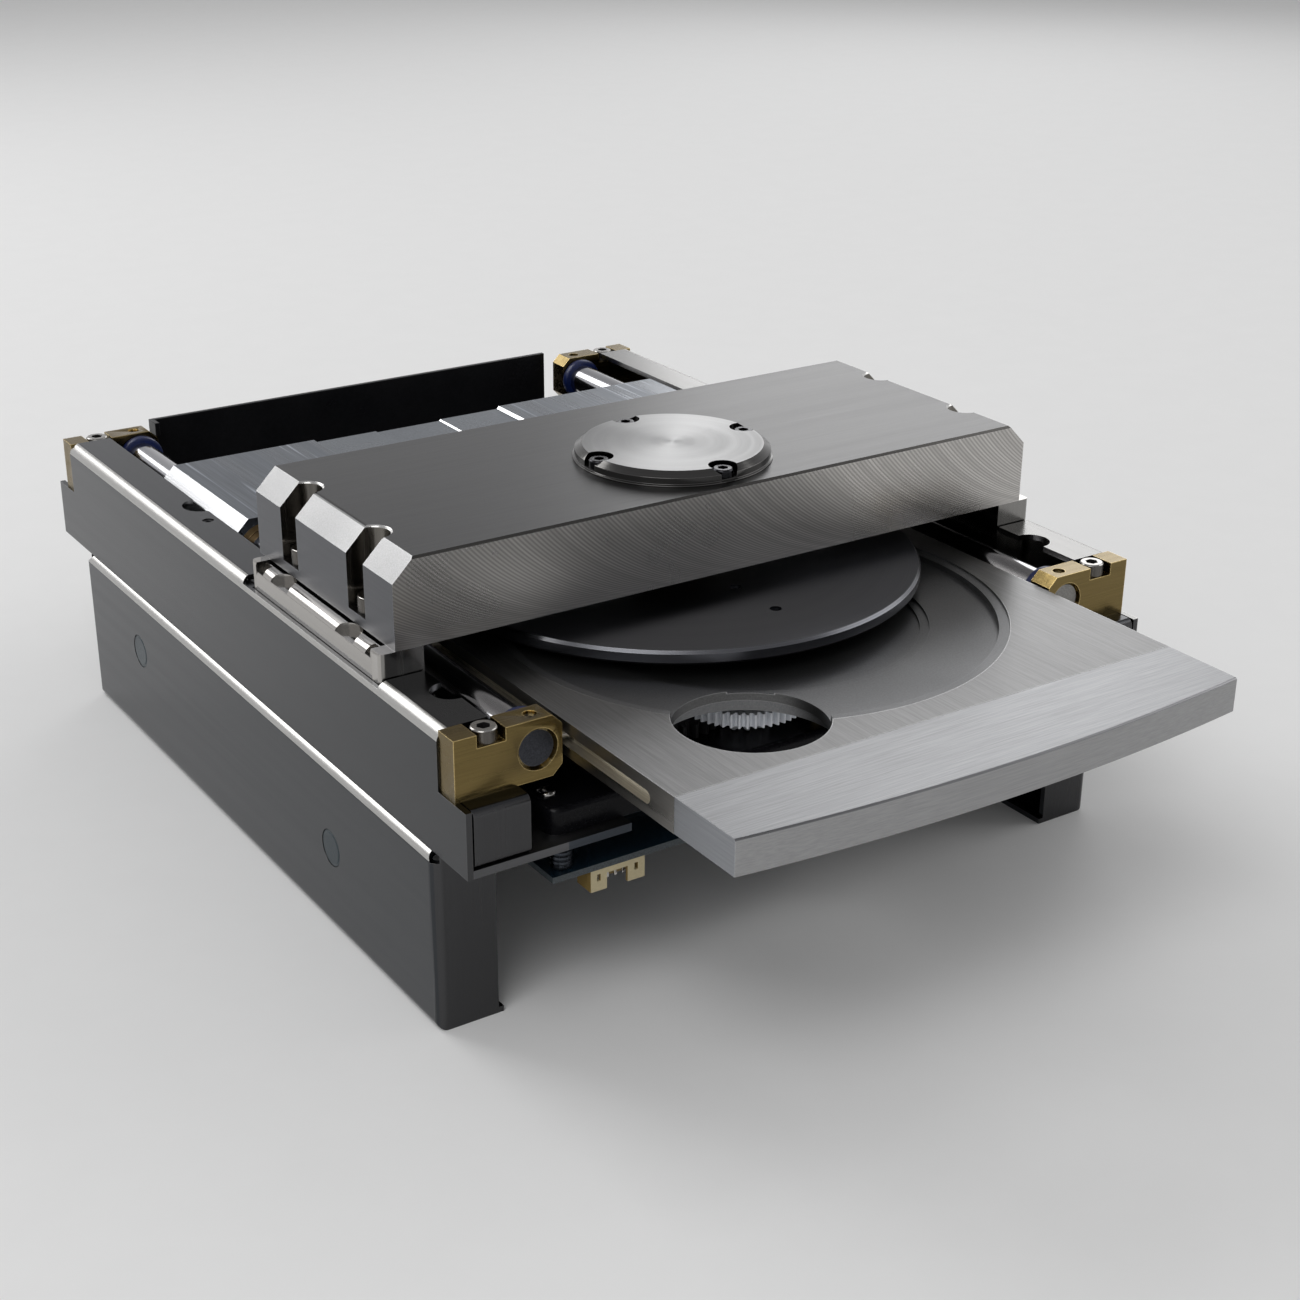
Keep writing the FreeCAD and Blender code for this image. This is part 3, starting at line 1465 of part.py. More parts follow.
def main():
    """Build and write every node."""
    os.makedirs("parts", exist_ok=True)
    plate = lower_side_plate()
    save("lower_side_plate_right", plate)
    save("lower_side_plate_left", mirrored(plate))
    save("clinch_studs", clinch_studs())
    save("base_plate", base_plate())
    rail = upper_rail()
    save("upper_rail_right", rail)
    save("upper_rail_left", mirrored(rail))
    save("front_corner_brackets", pair(front_bracket()))
    save("rear_corner_brackets", pair(rear_bracket()))
    front_block = shaft_block(front_block_y, True)
    save("shaft_block_front_right", front_block)
    save("shaft_block_front_left", mirrored(front_block))
    rear_block = shaft_block(rear_block_y, False)
    save("shaft_block_rear_right", rear_block)
    save("shaft_block_rear_left", mirrored(rear_block))
    save("clamp_screws", clamp_screws())
    save("set_screws", set_screws())
    shaft = guide_shaft()
    save("guide_shaft_right", shaft)
    save("guide_shaft_left", mirrored(shaft))
    save("bumper_collars", bumper_collars())
    save("tray_guide_pins", guide_pins())
    base = bridge_base()
    save("bridge_base_right", base)
    save("bridge_base_left", mirrored(base))
    save("bridge", bridge())
    save("bridge_screws", bridge_screws())
    save("bearing_cap", bearing_cap())
    save("cap_screws", cap_screws())
    save("spindle_bearings", spindle_bearings())
    save("spindle_stator", spindle_stator())
    save("loader_frame", loader_frame())
    save("pan_screws", pan_screws())
    save("circuit_board", circuit_board())
    save("board_standoffs", board_standoffs())
    save("connector_housing", connector_housing())
    save("connector_pins", connector_pin_group())
    save("load_motor", drive_motor(*load_motor_center()))
    save("lift_motor", drive_motor(*lift_motor_center()))
    save("lift_posts", lift_posts())
    save("rear_panel", rear_panel())
    save("tray_plate", tray_plate())
    save("tray_front_band", tray_front_band())
    save("tray_carriage", tray_carriage())
    save("shaft_bushes", shaft_bushes())
    save("tray_rack", tray_rack())
    save("tray_screws", tray_screws())
    save("turntable", turntable())
    save("turntable_spindle", turntable_spindle())
    save("rotor_magnet", rotor_magnet())
    save("load_gear", load_gear())
    save("load_motor_pinion", load_motor_pinion())
    save("slide_cam", slide_cam())
    save("cam_gear", cam_gear())
    save("lift_gear", lift_gear())
    save("lift_motor_pinion", lift_motor_pinion())
    save("lift_deck", lift_deck())
    save("sled_shafts", sled_shafts())
    save("clamper_bearing", clamper_bearing())
    save("sled_motor", sled_motor())
    save("disc_clamper", disc_clamper())
    save("optical_sled", optical_sled())
    save("pickup_lens", pickup_lens())
    save("lead_screw", lead_screw())


main()
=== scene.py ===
import json
import logging
import math
from contextlib import contextmanager
from dataclasses import dataclass
from enum import Enum
from functools import partial
from typing import Callable, Iterable, Iterator, Optional, Sequence, Union

import bpy
from mathutils import Matrix, Vector

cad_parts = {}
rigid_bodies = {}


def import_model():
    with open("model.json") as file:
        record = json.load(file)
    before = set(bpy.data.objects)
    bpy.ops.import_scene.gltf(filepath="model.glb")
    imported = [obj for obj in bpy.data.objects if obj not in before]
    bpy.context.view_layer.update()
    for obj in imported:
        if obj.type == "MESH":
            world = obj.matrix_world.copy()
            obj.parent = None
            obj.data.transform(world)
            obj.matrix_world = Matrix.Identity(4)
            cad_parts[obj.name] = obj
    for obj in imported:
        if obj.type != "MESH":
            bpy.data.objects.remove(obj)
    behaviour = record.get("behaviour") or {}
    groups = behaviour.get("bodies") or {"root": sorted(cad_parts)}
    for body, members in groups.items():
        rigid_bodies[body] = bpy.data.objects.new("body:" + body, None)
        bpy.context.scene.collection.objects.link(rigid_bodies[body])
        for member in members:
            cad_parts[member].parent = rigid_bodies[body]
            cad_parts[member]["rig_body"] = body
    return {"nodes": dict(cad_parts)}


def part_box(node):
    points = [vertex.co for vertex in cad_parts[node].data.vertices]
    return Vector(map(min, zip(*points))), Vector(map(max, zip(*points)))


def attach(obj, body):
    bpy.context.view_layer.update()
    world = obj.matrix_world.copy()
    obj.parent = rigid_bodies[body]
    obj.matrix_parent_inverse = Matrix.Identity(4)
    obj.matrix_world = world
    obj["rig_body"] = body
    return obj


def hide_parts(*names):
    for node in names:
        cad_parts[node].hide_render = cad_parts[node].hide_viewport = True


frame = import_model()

log = logging.getLogger("transport")

MM = 0.001
SMOOTH_ANGLE = math.radians(32.0)
SPINDLE_Y = -53.65
SIDES = (("right", 1.0), ("left", -1.0))
STROKE = 0.018
WEAR_HIGHLIGHT_REACH = 0.35
WEAR_GLOSS = 0.12
SCRATCH_GAIN = 2.6
CUTTER_R = 68.0
CUTTER_PITCH = 1.25

Piece = bpy.types.Object
Socket = bpy.types.NodeSocket
Tree = bpy.types.NodeTree
Pair = tuple[float, float]
Triple = tuple[float, float, float]
Place = Sequence[float]
Test = Callable[[Vector], bool]
Chooser = Callable[[Vector, Vector], int]
Value = Union[Socket, float, Sequence[float]]


class Axis(Enum):
    """Direction of a rod, a brush stroke or a slot."""

    X = 0
    Y = 1
    Z = 2


X, Y, Z = Axis


class Pattern(Enum):
    """How a surface was worked, with the name of the effect that draws it."""

    BRUSHED = "brush_lines"
    TURNED = "lathe_rings"
    MILLED = "cutter_arcs"
    PITTED = "fine_pits"


class Graph:
    """Short way to write one node tree."""

    def __init__(self, tree: Tree) -> None:
        """Start on an empty tree."""
        self.tree = tree
        tree.nodes.clear()

    def feed(self, socket: Socket, value: Value) -> None:
        """Link or set one input."""
        if isinstance(value, Socket):
            self.tree.links.new(value, socket)
        else:
            socket.default_value = value

    def add(self, kind: str, inputs: Optional[dict] = None, **settings: object) -> bpy.types.Node:
        """Add a node.

        Args:
            kind: Node type without its ShaderNode prefix.
            inputs: Values or sockets for its inputs, by name or number.
            settings: Attributes of the node.

        Returns:
            The new node.
        """
        node = self.tree.nodes.new("NodeGroup" + kind if kind in ("Input", "Output") else "ShaderNode" + kind)
        for key, value in settings.items():
            setattr(node, key, value)
        for key, value in (inputs or {}).items():
            self.feed(node.inputs[key], value)
        return node

    def calc(self, operation: str, *terms: Value) -> Socket:
        """Result of a Math node."""
        return self.add("Math", dict(enumerate(terms)), operation=operation).outputs[0]

    def times(self, first: Value, second: Value) -> Socket:
        """Product of two values."""
        return self.calc("MULTIPLY", first, second)

    def fit(self, value: Value, low: float, high: float, to_low: float = 0.0, to_high: float = 1.0) -> Socket:
        """A value moved from one range to another, and held within it."""
        return self.add("MapRange", {0: value, 1: low, 2: high, 3: to_low, 4: to_high}).outputs[0]

    def mix(self, factor: Value, first: Value, second: Value) -> Socket:
        """Mix of two colours."""
        node = self.add("Mix", data_type="RGBA")
        for number, value in ((0, factor), (6, first), (7, second)):
            self.feed(node.inputs[number], value if not isinstance(value, tuple) or len(value) != 3 else (*value, 1.0))
        return node.outputs[2]

    def noise(self, place: Value, scale: Value, detail: float = 2.0, rough: float = 0.5) -> Socket:
        """Noise value at a place."""
        return self.add("TexNoise", {"Vector": place, "Scale": scale, "Detail": detail, "Roughness": rough}).outputs[0]


class Effects:
    """Shared surface effects, each a node group that is built once."""

    @classmethod
    def group(cls, name: str) -> Tree:
        """The group of that name, built at its first use."""
        return bpy.data.node_groups.get(name) or getattr(cls, name)()

    @staticmethod
    def start(name: str, inputs: Sequence[str],
              outputs: Sequence[str] = ("Grain", "Streak")) -> tuple[Graph, Sequence[Socket]]:
        """New group with its sockets.

        Args:
            name: Name of the group.
            inputs: Names of its inputs; Place is a vector and the others are values.
            outputs: Names of its outputs, all values.

        Returns:
            The graph, and the sockets that its inputs come from.
        """
        tree = bpy.data.node_groups.new(name, "ShaderNodeTree")
        for label in inputs:
            kind = "NodeSocketVector" if label == "Place" else "NodeSocketFloat"
            tree.interface.new_socket(label, in_out="INPUT", socket_type=kind)
        for label in outputs:
            tree.interface.new_socket(label, in_out="OUTPUT", socket_type="NodeSocketFloat")
        graph = Graph(tree)
        return graph, graph.add("Input").outputs[:len(inputs)]

    @classmethod
    def brush_lines(cls) -> Tree:
        """Fine and coarse strokes; the place comes in already drawn out along the strokes."""
        names = ("Grain", "Streak", "Scratch")
        graph, (place, scale, weight) = cls.start("brush_lines", ("Place", "Scale", "Coarse"), names)
        fine = graph.noise(place, scale, 3.0, 0.7)
        coarse = graph.noise(place, graph.times(scale, 0.13))
        apart = graph.times(graph.calc("SUBTRACT", coarse, fine), weight)
        sparse = graph.noise(place, graph.times(scale, 0.55), 1.0)
        graph.add("Output", {"Grain": graph.fit(graph.calc("ADD", fine, apart), 0.36, 0.64),
                             "Streak": graph.fit(coarse, 0.35, 0.65), "Scratch": graph.fit(sparse, 0.62, 0.74)})
        return graph.tree

    @classmethod
    def lathe_rings(cls) -> Tree:
        """Rings round the origin of the place."""
        graph, (place, scale) = cls.start("lathe_rings", ("Place", "Scale"))
        flat = graph.add("VectorMath", {0: place, 1: (1.0, 1.0, 0.0)}, operation="MULTIPLY")
        radius = graph.add("VectorMath", {0: flat.outputs[0]}, operation="LENGTH").outputs["Value"]
        along = graph.times(radius, scale)
        fine = graph.add("TexNoise", {"W": along, "Scale": 1.0, "Detail": 3.0, "Roughness": 0.7}, noise_dimensions="1D")
        slow = graph.add("TexNoise", {"W": graph.times(along, 0.11), "Scale": 1.0}, noise_dimensions="1D")
        graph.add("Output", {"Grain": graph.fit(fine.outputs[0], 0.36, 0.64),
                             "Streak": graph.fit(slow.outputs[0], 0.35, 0.65)})
        return graph.tree

    @classmethod
    def cutter_arcs(cls) -> Tree:
        """Arcs that a large face cutter leaves as it is fed along X; the place's Z is below the cutter's centre."""
        graph, (place, radius, pitch) = cls.start("cutter_arcs", ("Place", "Radius", "Pitch"))
        x, _, z = graph.add("SeparateXYZ", {0: place}).outputs
        drop = graph.calc("SUBTRACT", graph.times(radius, radius), graph.times(z, z))
        feed = graph.calc("ADD", x, graph.calc("SQRT", graph.calc("MAXIMUM", drop, 0.0)))
        turn = graph.calc("DIVIDE", feed, pitch)
        wave = graph.calc("ABSOLUTE", graph.calc("SUBTRACT", graph.calc("FRACT", turn), 0.5))
        depth = graph.add("TexNoise", {"W": graph.times(turn, 0.37), "Scale": 1.0, "Detail": 3.0},
                          noise_dimensions="1D").outputs[0]
        grain = graph.times(graph.fit(wave, 0.05, 0.45), graph.fit(depth, 0.3, 0.7, 0.5, 1.0))
        scuffs = graph.fit(graph.noise(place, 55.0, 2.0, 0.6), 0.35, 0.65)
        graph.add("Output", {"Grain": grain, "Streak": scuffs})
        return graph.tree

    @classmethod
    def fine_pits(cls) -> Tree:
        """Even fine grain of a blasted or moulded face."""
        graph, (place, scale) = cls.start("fine_pits", ("Place", "Scale"))
        fine, cloud = graph.noise(place, scale, 2.0, 0.6), graph.noise(place, 40.0)
        graph.add("Output", {"Grain": graph.fit(fine, 0.34, 0.66), "Streak": graph.fit(cloud, 0.35, 0.65)})
        return graph.tree

    @classmethod
    def edge_wear(cls) -> Tree:
        """Mask of the edges, where handling has polished them and where a painted highlight lightens them."""
        graph, (reach,) = cls.start("edge_wear", ("Reach",), ("Edge",))
        eased = graph.add("Bevel", {"Radius": reach}, samples=4)
        true = graph.add("NewGeometry")
        dot = graph.add("VectorMath", {0: eased.outputs[0], 1: true.outputs["Normal"]}, operation="DOT_PRODUCT")
        graph.add("Output", {"Edge": graph.fit(dot.outputs["Value"], 0.995, 0.90)})
        return graph.tree


@dataclass(frozen=True)
class Finish:
    """One surface finish: its colour, gloss, worked pattern, and edge wear with a painted edge highlight."""

    name: str
    colour: Triple
    roughness: float
    metallic: float = 1.0
    pattern: Pattern = Pattern.BRUSHED
    along: Axis = Y
    scale: float = 2600.0
    contrast: float = 0.05
    spread: float = 0.06
    relief: float = 0.004
    centre: Triple = (0.0, 0.0, 0.0)
    # Strength of the lighter edges: real wear and a painted highlight.
    wear: float = 0.25
    anisotropy: float = 0.0
    coat: float = 0.0
    coarse: float = 0.12
    scratch: float = 0.0
    polish: float = 1.35
    specular: float = 0.5

    def place(self, graph: Graph) -> Socket:
        """Object coordinates, moved to the pattern's centre and drawn out along its strokes."""
        stretch = [1.0, 1.0, 1.0]
        if self.pattern is Pattern.BRUSHED:
            stretch[self.along.value] = STROKE
        shift = [-c * MM * s for c, s in zip(self.centre, stretch)]
        coords = graph.add("TexCoord").outputs["Object"]
        return graph.add("Mapping", {"Vector": coords, "Location": shift, "Scale": stretch}).outputs[0]

    def marks(self, graph: Graph) -> bpy.types.Node:
        """Group node that draws the worked pattern."""
        inputs = {"Place": self.place(graph)}
        if self.pattern is Pattern.MILLED:
            inputs |= {"Radius": CUTTER_R * MM, "Pitch": CUTTER_PITCH * MM}
        else:
            inputs["Scale"] = self.scale
        if self.pattern is Pattern.BRUSHED:
            inputs["Coarse"] = self.coarse
        return graph.add("Group", inputs, node_tree=Effects.group(self.pattern.value))

    def material(self) -> bpy.types.Material:
        """The finish as a material, built once; the frame's own materials have other names."""
        label = "finish_" + self.name
        if label in bpy.data.materials:
            return bpy.data.materials[label]
        material = bpy.data.materials.new(label)
        material.use_nodes = True
        graph = Graph(material.node_tree)
        marks = self.marks(graph)
        wear = graph.add("Group", {"Reach": WEAR_HIGHLIGHT_REACH * MM}, node_tree=Effects.group("edge_wear"))
        edge = graph.times(wear.outputs["Edge"], self.wear)
        dark = tuple(c * (1.0 - self.contrast) for c in self.colour)
        light = tuple(min(1.0, c * (1.0 + self.contrast)) for c in self.colour)
        colour = graph.mix(marks.outputs["Grain"], dark, light)
        if self.scratch > 0.0:
            bright = tuple(min(1.0, c * SCRATCH_GAIN + 0.05) for c in self.colour)
            colour = graph.mix(graph.times(marks.outputs["Scratch"], self.scratch), colour, bright)
        # Edges lightened: partly real wear, partly a painted highlight.
        worn_highlight = tuple(min(1.0, c * self.polish + 0.04) for c in self.colour)
        colour = graph.mix(edge, colour, worn_highlight)
        rough = graph.fit(marks.outputs["Streak"], 0.0, 1.0, self.roughness - self.spread, self.roughness + self.spread)
        rough = graph.calc("MAXIMUM", graph.calc("SUBTRACT", rough, graph.times(edge, WEAR_GLOSS)), 0.04)
        bump = graph.add("Bump", {"Height": marks.outputs["Grain"], "Strength": 1.0, "Distance": self.relief * MM})
        shader = graph.add("BsdfPrincipled", {
            "Base Color": colour, "Roughness": rough, "Metallic": self.metallic, "Normal": bump.outputs[0],
            "Anisotropic": self.anisotropy, "Coat Weight": self.coat, "Specular IOR Level": self.specular})
        graph.add("OutputMaterial", {"Surface": shader.outputs[0]})
        return material


across = partial(Finish, along=X)
upright = partial(Finish, along=Z)
blasted = partial(Finish, pattern=Pattern.PITTED, contrast=0.10)
moulded = partial(Finish, pattern=Pattern.PITTED, metallic=0.0, contrast=0.20, relief=0.006, wear=0.1)
turned = partial(Finish, pattern=Pattern.TURNED, centre=(0.0, SPINDLE_Y, 0.0), spread=0.02, relief=0.001)

NICKEL = Finish("nickel_plate", (0.056, 0.059, 0.064), 0.24, contrast=0.04, spread=0.02, relief=0.002)
# Outer bends: a lighter copy of the nickel, a painted highlight along the bend.
NICKEL_BEND_HIGHLIGHT = Finish("nickel_bend_painted_highlight", (0.46, 0.455, 0.44), 0.3, spread=0.02, relief=0.002)
NICKEL_END = upright("nickel_end", (0.07, 0.07, 0.072), 0.26, contrast=0.03, spread=0.02, relief=0.002)
# Lighter copy of the nickel for the right rail: painted light.
NICKEL_LIT = Finish("nickel_painted_lit", (0.23, 0.228, 0.222), 0.24, spread=0.02, relief=0.002, wear=0.6, polish=2.0)
NICKEL_RAIL = Finish("nickel_rail", (0.06, 0.062, 0.066), 0.22, spread=0.02, relief=0.002, wear=0.6, polish=2.4)
BASE_STEEL = across("base_steel", (0.115, 0.116, 0.12), 0.34, relief=0.006)
# Base plate's front edge: a darker copy of the steel, painted shade.
BASE_EDGE_SHADE = across("base_edge_dark", (0.055, 0.062, 0.072), 0.36, contrast=0.08)
STUD_STEEL = blasted("stud_steel", (0.05, 0.066, 0.076), 0.34, scale=2200.0, relief=0.03)
BRASS = across("brushed_brass", (0.175, 0.128, 0.05), 0.26, contrast=0.08, relief=0.006, wear=1.0, polish=4.0)
BRASS_EDGE = across("brass_edge", (0.6, 0.46, 0.21), 0.22, relief=0.002, wear=0.0)
SET_SCREW = blasted("set_screw", (0.02, 0.02, 0.022), 0.3, metallic=0.0, contrast=0.15, relief=0.006)
SCREW_STEEL = blasted("screw_steel", (0.38, 0.368, 0.35), 0.2, contrast=0.05, relief=0.006)
# Darker copies of the screw steel: painted shade on the heads' sides and in sockets and recesses.
SCREW_SIDE_SHADE = upright("screw_side", (0.12, 0.112, 0.102), 0.24, scale=3400.0, contrast=0.25, relief=0.03)
SCREW_SOCKET_SHADE = blasted("screw_socket", (0.012, 0.011, 0.011), 0.45, metallic=0.0, contrast=0.15, relief=0.006,
                       specular=0.3)
SCREW_BLACK = blasted("screw_black", (0.03, 0.03, 0.033), 0.2, contrast=0.15, relief=0.01)
SHAFT_STEEL = Finish("shaft_steel", (0.42, 0.42, 0.435), 0.12, contrast=0.02, spread=0.02, relief=0.0)
SHAFT_RIM = blasted("shaft_rim", (0.34, 0.34, 0.345), 0.24, contrast=0.05, relief=0.002)
# Shaft end faces: a dark copy painted as shade and a pale copy painted as light.
SHAFT_END_SHADED = blasted("shaft_end_dark", (0.05, 0.052, 0.06), 0.42, scale=3000.0, contrast=0.2, relief=0.01, wear=1.0)
SHAFT_END_LIT = blasted("shaft_end_pale", (0.22, 0.215, 0.205), 0.4, scale=3000.0, contrast=0.2, relief=0.02, wear=0.3)
COLLAR = moulded("blue_collar", (0.003, 0.01, 0.062), 0.4, scale=1800.0, contrast=0.3, relief=0.02)
BRIDGE_STEEL = across("bridge_steel", (0.066, 0.066, 0.066), 0.3, contrast=0.1, spread=0.01, wear=0.6,
                      coarse=0.03, polish=2.6)
BRIDGE_END = Finish("bridge_end", (0.1, 0.103, 0.112), 0.3, spread=0.02, relief=0.003, wear=0.6, coarse=0.05,
                    polish=2.2)
# End chamfers: a lighter copy of the bridge steel, painted highlight.
BRIDGE_CHAMFER_HIGHLIGHT = blasted("bridge_chamfer", (0.26, 0.26, 0.26), 0.34, scale=3400.0, spread=0.02, relief=0.008, wear=0.6)
BRIDGE_SLOT = upright("bridge_slot", (0.165, 0.155, 0.14), 0.24, contrast=0.35, spread=0.05,
                     relief=0.006, wear=0.9, coarse=0.7, polish=2.6)
BRIDGE_EDGE = across("bridge_edge", (0.085, 0.082, 0.078), 0.25)
# Slot rims: a near-white copy of the bridge steel, painted highlight.
BRIDGE_RIM_HIGHLIGHT = Finish("bridge_rim_painted_highlight", (0.6, 0.595, 0.58), 0.24, contrast=0.04, relief=0.002)
# Front face: a much lighter copy of the bridge steel than the top, painted light.
BRIDGE_FRONT_LIT = Finish("bridge_front_painted_lit", (0.5, 0.485, 0.465), 0.28, pattern=Pattern.MILLED, contrast=0.3, spread=0.02,
                      relief=0.006, centre=(0.0, 0.0, 149.0), wear=0.6)
BASE_BLOCK = Finish("bridge_base_steel", (0.42, 0.405, 0.385), 0.12, contrast=0.03, spread=0.02, relief=0.001)
BASE_BLOCK_END = upright("bridge_base_end", (0.25, 0.245, 0.235), 0.22, relief=0.002)
CAP_STEEL = turned("turned_cap", (0.3, 0.3, 0.3), 0.3, scale=3200.0, contrast=0.035, relief=0.003, wear=0.3,
                   anisotropy=0.8)
# Rim much darker than the top: a painted dark reflection.
CAP_RIM_DARK_REFLECTION = turned("turned_cap_rim", (0.095, 0.093, 0.09), 0.16, scale=2200.0, relief=0.002, wear=0.8, anisotropy=0.5)
# Notch walls: painted shade.
CAP_NOTCH_SHADE = upright("cap_notch", (0.03, 0.029, 0.028), 0.14, contrast=0.2, wear=1.0)
BRONZE = Finish("bush_bronze", (0.4, 0.27, 0.13), 0.34, contrast=0.08, relief=0.006)
COPPER = blasted("motor_copper", (0.46, 0.24, 0.12), 0.35, relief=0.03)
FRAME_BLACK = moulded("moulded_black", (0.004, 0.004, 0.005), 0.24, scale=1500.0, relief=0.004, specular=0.12)
BOARD = moulded("board_mask", (0.008, 0.02, 0.032), 0.3, scale=900.0, contrast=0.25, relief=0.01, wear=0.2)
BOARD_EDGE = moulded("board_edge", (0.045, 0.055, 0.06), 0.55, scale=2400.0, contrast=0.35, relief=0.02, wear=0.3)
# Steel posts darkened: painted shade under the base plate.
STANDOFF_SHADED = upright("standoff_steel", (0.05, 0.056, 0.066), 0.28, contrast=0.08, wear=0.0)
CREAM = moulded("cream_moulding", (0.48, 0.41, 0.25), 0.42, scale=1500.0, contrast=0.04, wear=0.2)
CREAM_SHADE = moulded("cream_inside", (0.2, 0.135, 0.04), 0.5, scale=1500.0, contrast=0.06)
TIN = upright("tinned_pin", (0.6, 0.58, 0.54), 0.22, relief=0.002)
MOTOR_CAN = upright("motor_can", (0.34, 0.34, 0.35), 0.3, contrast=0.06, relief=0.006)
PANEL_BLACK = moulded("panel_black", (0.006, 0.006, 0.007), 0.32, scale=1200.0, wear=0.6, specular=0.25)
TRAY_TOP = Finish("tray_brushed", (0.19, 0.19, 0.19), 0.33, scale=3400.0, contrast=0.14, spread=0.008, wear=0.9,
                  coarse=0.02, polish=2.3)
TRAY_BLAST = blasted("tray_blasted", (0.165, 0.167, 0.17), 0.38, spread=0.02, relief=0.012, wear=0.4)
TRAY_HOLE = blasted("tray_hole_wall", (0.12, 0.12, 0.12), 0.4, contrast=0.12, relief=0.01, wear=0.9, polish=2.6)
TRAY_SIDE = Finish("tray_side", (0.24, 0.23, 0.215), 0.3, relief=0.003, wear=0.7)
TRAY_GROOVE = Finish("tray_groove", (0.6, 0.57, 0.5), 0.42, scale=1500.0, contrast=0.18, relief=0.012, wear=0.2,
                     coarse=0.3)
BAND = across("band_brushed", (0.29, 0.293, 0.3), 0.35, scale=3400.0, contrast=0.13, spread=0.008,
              wear=0.7, coarse=0.02, polish=1.8)
# Top front edge: a darker copy, a painted dark reflection.
BAND_EDGE_DARK_REFLECTION = across("band_edge", (0.2, 0.2, 0.205), 0.32, relief=0.003, wear=0.3)
BAND_FRONT = across("band_front", (0.33, 0.33, 0.333), 0.33, scale=3400.0, contrast=0.08, spread=0.01,
                    relief=0.003, wear=0.5, coarse=0.02)
BAND_END = Finish("band_end", (0.33, 0.34, 0.36), 0.4, scale=3000.0, contrast=0.08, wear=0.6)
CARRIAGE = Finish("carriage_streaked", (0.135, 0.148, 0.168), 0.28, scale=1500.0, contrast=0.24, spread=0.08,
                  relief=0.015, wear=0.6, coarse=0.35, scratch=0.9)
CARRIAGE_SMOOTH = blasted("carriage_smooth", (0.15, 0.165, 0.185), 0.3, scale=1700.0, contrast=0.12, spread=0.04,
                          relief=0.012, wear=0.5)
# Bars and steps: a near-white copy of the carriage metal, painted highlight.
CARRIAGE_BAR_HIGHLIGHT = Finish("carriage_bar_painted_highlight", (0.6, 0.605, 0.615), 0.26, scale=1500.0, contrast=0.08, spread=0.04,
                      relief=0.006, wear=0.6)
GEAR_BLACK = moulded("gear_black", (0.012, 0.012, 0.013), 0.34, contrast=0.1, wear=0.25, specular=0.3)
GEAR_WHITE = moulded("gear_white", (0.62, 0.64, 0.68), 0.4, contrast=0.03, relief=0.004)
PINION = upright("pinion_brass", (0.5, 0.38, 0.17), 0.28, contrast=0.06)
TURNTABLE_TOP = turned("turntable_anodised", (0.078, 0.081, 0.092), 0.32, contrast=0.06, spread=0.01, wear=0.1,
                       anisotropy=0.6)
TURNTABLE_RIM = turned("turntable_rim", (0.085, 0.087, 0.097), 0.28, wear=0.6)
# Upper broken edge: a lighter copy, painted highlight.
TURNTABLE_EDGE_HIGHLIGHT = turned("turntable_edge", (0.14, 0.143, 0.155), 0.26, wear=0.4)
MAGNET = blasted("magnet_dark", (0.06, 0.06, 0.065), 0.35, relief=0.01)
DECK = across("deck_aluminium", (0.36, 0.36, 0.365), 0.34, contrast=0.08, relief=0.006)
CLAMPER_BLACK = moulded("clamper_black", (0.02, 0.02, 0.022), 0.48, scale=1200.0, relief=0.02, wear=0.25)
SLED = blasted("sled_zinc", (0.3, 0.305, 0.315), 0.42, scale=1400.0, relief=0.03)
LENS = moulded("lens_glass", (0.08, 0.1, 0.16), 0.04, contrast=0.05, spread=0.0, relief=0.0, wear=0.0, coat=1.0)


